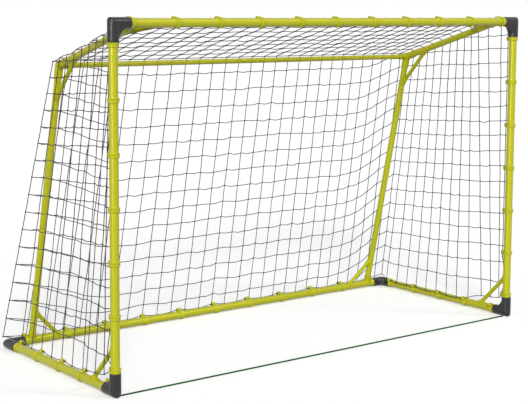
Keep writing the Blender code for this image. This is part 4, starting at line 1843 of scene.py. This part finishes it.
class GOAL_OT_elbows(bpy.types.Operator):
    """Mould the six black elbows"""

    bl_idname = "goal.elbows"
    bl_label = "Elbows"

    def execute(self, context):
        finish = elbow_finish(context.scene.goal_finishes.elbow)
        build_elbows(context.scene.goal_elbows, finish)
        return {"FINISHED"}


class GOAL_OT_fittings(bpy.types.Operator):
    """Make the rear fittings and the saddles"""

    bl_idname = "goal.fittings"
    bl_label = "Fittings and Saddles"

    def execute(self, context):
        finish = satin_finish(context.scene.goal_finishes.coating)
        build_fittings(context.scene.goal_tubes, finish)
        build_saddles(context.scene.goal_tubes, finish)
        return {"FINISHED"}


class GOAL_OT_braces(bpy.types.Operator):
    """Make the corner braces with their shoes"""

    bl_idname = "goal.braces"
    bl_label = "Braces"

    def execute(self, context):
        finish = satin_finish(context.scene.goal_finishes.coating)
        build_braces(context.scene.goal_tubes, finish)
        return {"FINISHED"}


class GOAL_OT_clips(bpy.types.Operator):
    """Mould the net clips"""

    bl_idname = "goal.clips"
    bl_label = "Clips"

    def execute(self, context):
        finish = clip_finish(context.scene.goal_finishes.clip)
        build_clips(context.scene.goal_clips, finish)
        return {"FINISHED"}


class GOAL_OT_ropes(bpy.types.Operator):
    """Run the border ropes through the hooks"""

    bl_idname = "goal.ropes"
    bl_label = "Border Ropes"

    def execute(self, context):
        finish = cord_finish("border_braid", context.scene.goal_finishes.net, 700)
        build_ropes(context.scene.goal_clips, finish)
        return {"FINISHED"}


class GOAL_OT_net(bpy.types.Operator):
    """Knot the four sides of the net"""

    bl_idname = "goal.net"
    bl_label = "Net"

    def execute(self, context):
        finish = cord_finish("net_braid", context.scene.goal_finishes.net, 950)
        build_net(context.scene.goal_net, context.scene.goal_clips, finish)
        return {"FINISHED"}


OPERATORS = (
    GOAL_OT_studio,
    GOAL_OT_line_cord,
    GOAL_OT_tubes,
    GOAL_OT_elbows,
    GOAL_OT_fittings,
    GOAL_OT_braces,
    GOAL_OT_clips,
    GOAL_OT_ropes,
    GOAL_OT_net,
)

SETTINGS = {
    "goal_tubes": GoalTubeSettings,
    "goal_elbows": GoalElbowSettings,
    "goal_clips": GoalClipSettings,
    "goal_net": GoalNetSettings,
    "goal_finishes": GoalFinishSettings,
    "goal_studio": GoalStudioSettings,
}


class GOAL_PT_panel(bpy.types.Panel):
    """Lists the goal's settings and operators"""

    bl_idname = "GOAL_PT_panel"
    bl_label = "Futsal Goal"
    bl_space_type = "VIEW_3D"
    bl_region_type = "UI"
    bl_category = "Goal"

    def draw(self, context):
        for name in SETTINGS:
            box = self.layout.box()
            group = getattr(context.scene, name)
            for setting in group.bl_rna.properties.keys():
                if setting not in ("rna_type", "name"):
                    box.prop(group, setting)
        for operator in OPERATORS:
            self.layout.operator(operator.bl_idname)


def register():
    for group in SETTINGS.values():
        bpy.utils.register_class(group)
    for name, group in SETTINGS.items():
        setattr(bpy.types.Scene, name, PointerProperty(type=group))
    for operator in OPERATORS:
        bpy.utils.register_class(operator)
    bpy.utils.register_class(GOAL_PT_panel)


def unregister():
    bpy.utils.unregister_class(GOAL_PT_panel)
    for operator in reversed(OPERATORS):
        bpy.utils.unregister_class(operator)
    for name in SETTINGS:
        delattr(bpy.types.Scene, name)
    for group in reversed(SETTINGS.values()):
        bpy.utils.unregister_class(group)


def main():
    register()
    bpy.ops.goal.studio()
    bpy.ops.goal.line_cord()
    bpy.ops.goal.tubes()
    bpy.ops.goal.elbows()
    bpy.ops.goal.fittings()
    bpy.ops.goal.braces()
    bpy.ops.goal.clips()
    bpy.ops.goal.ropes()
    bpy.ops.goal.net()


if __name__ == "__main__":
    main()
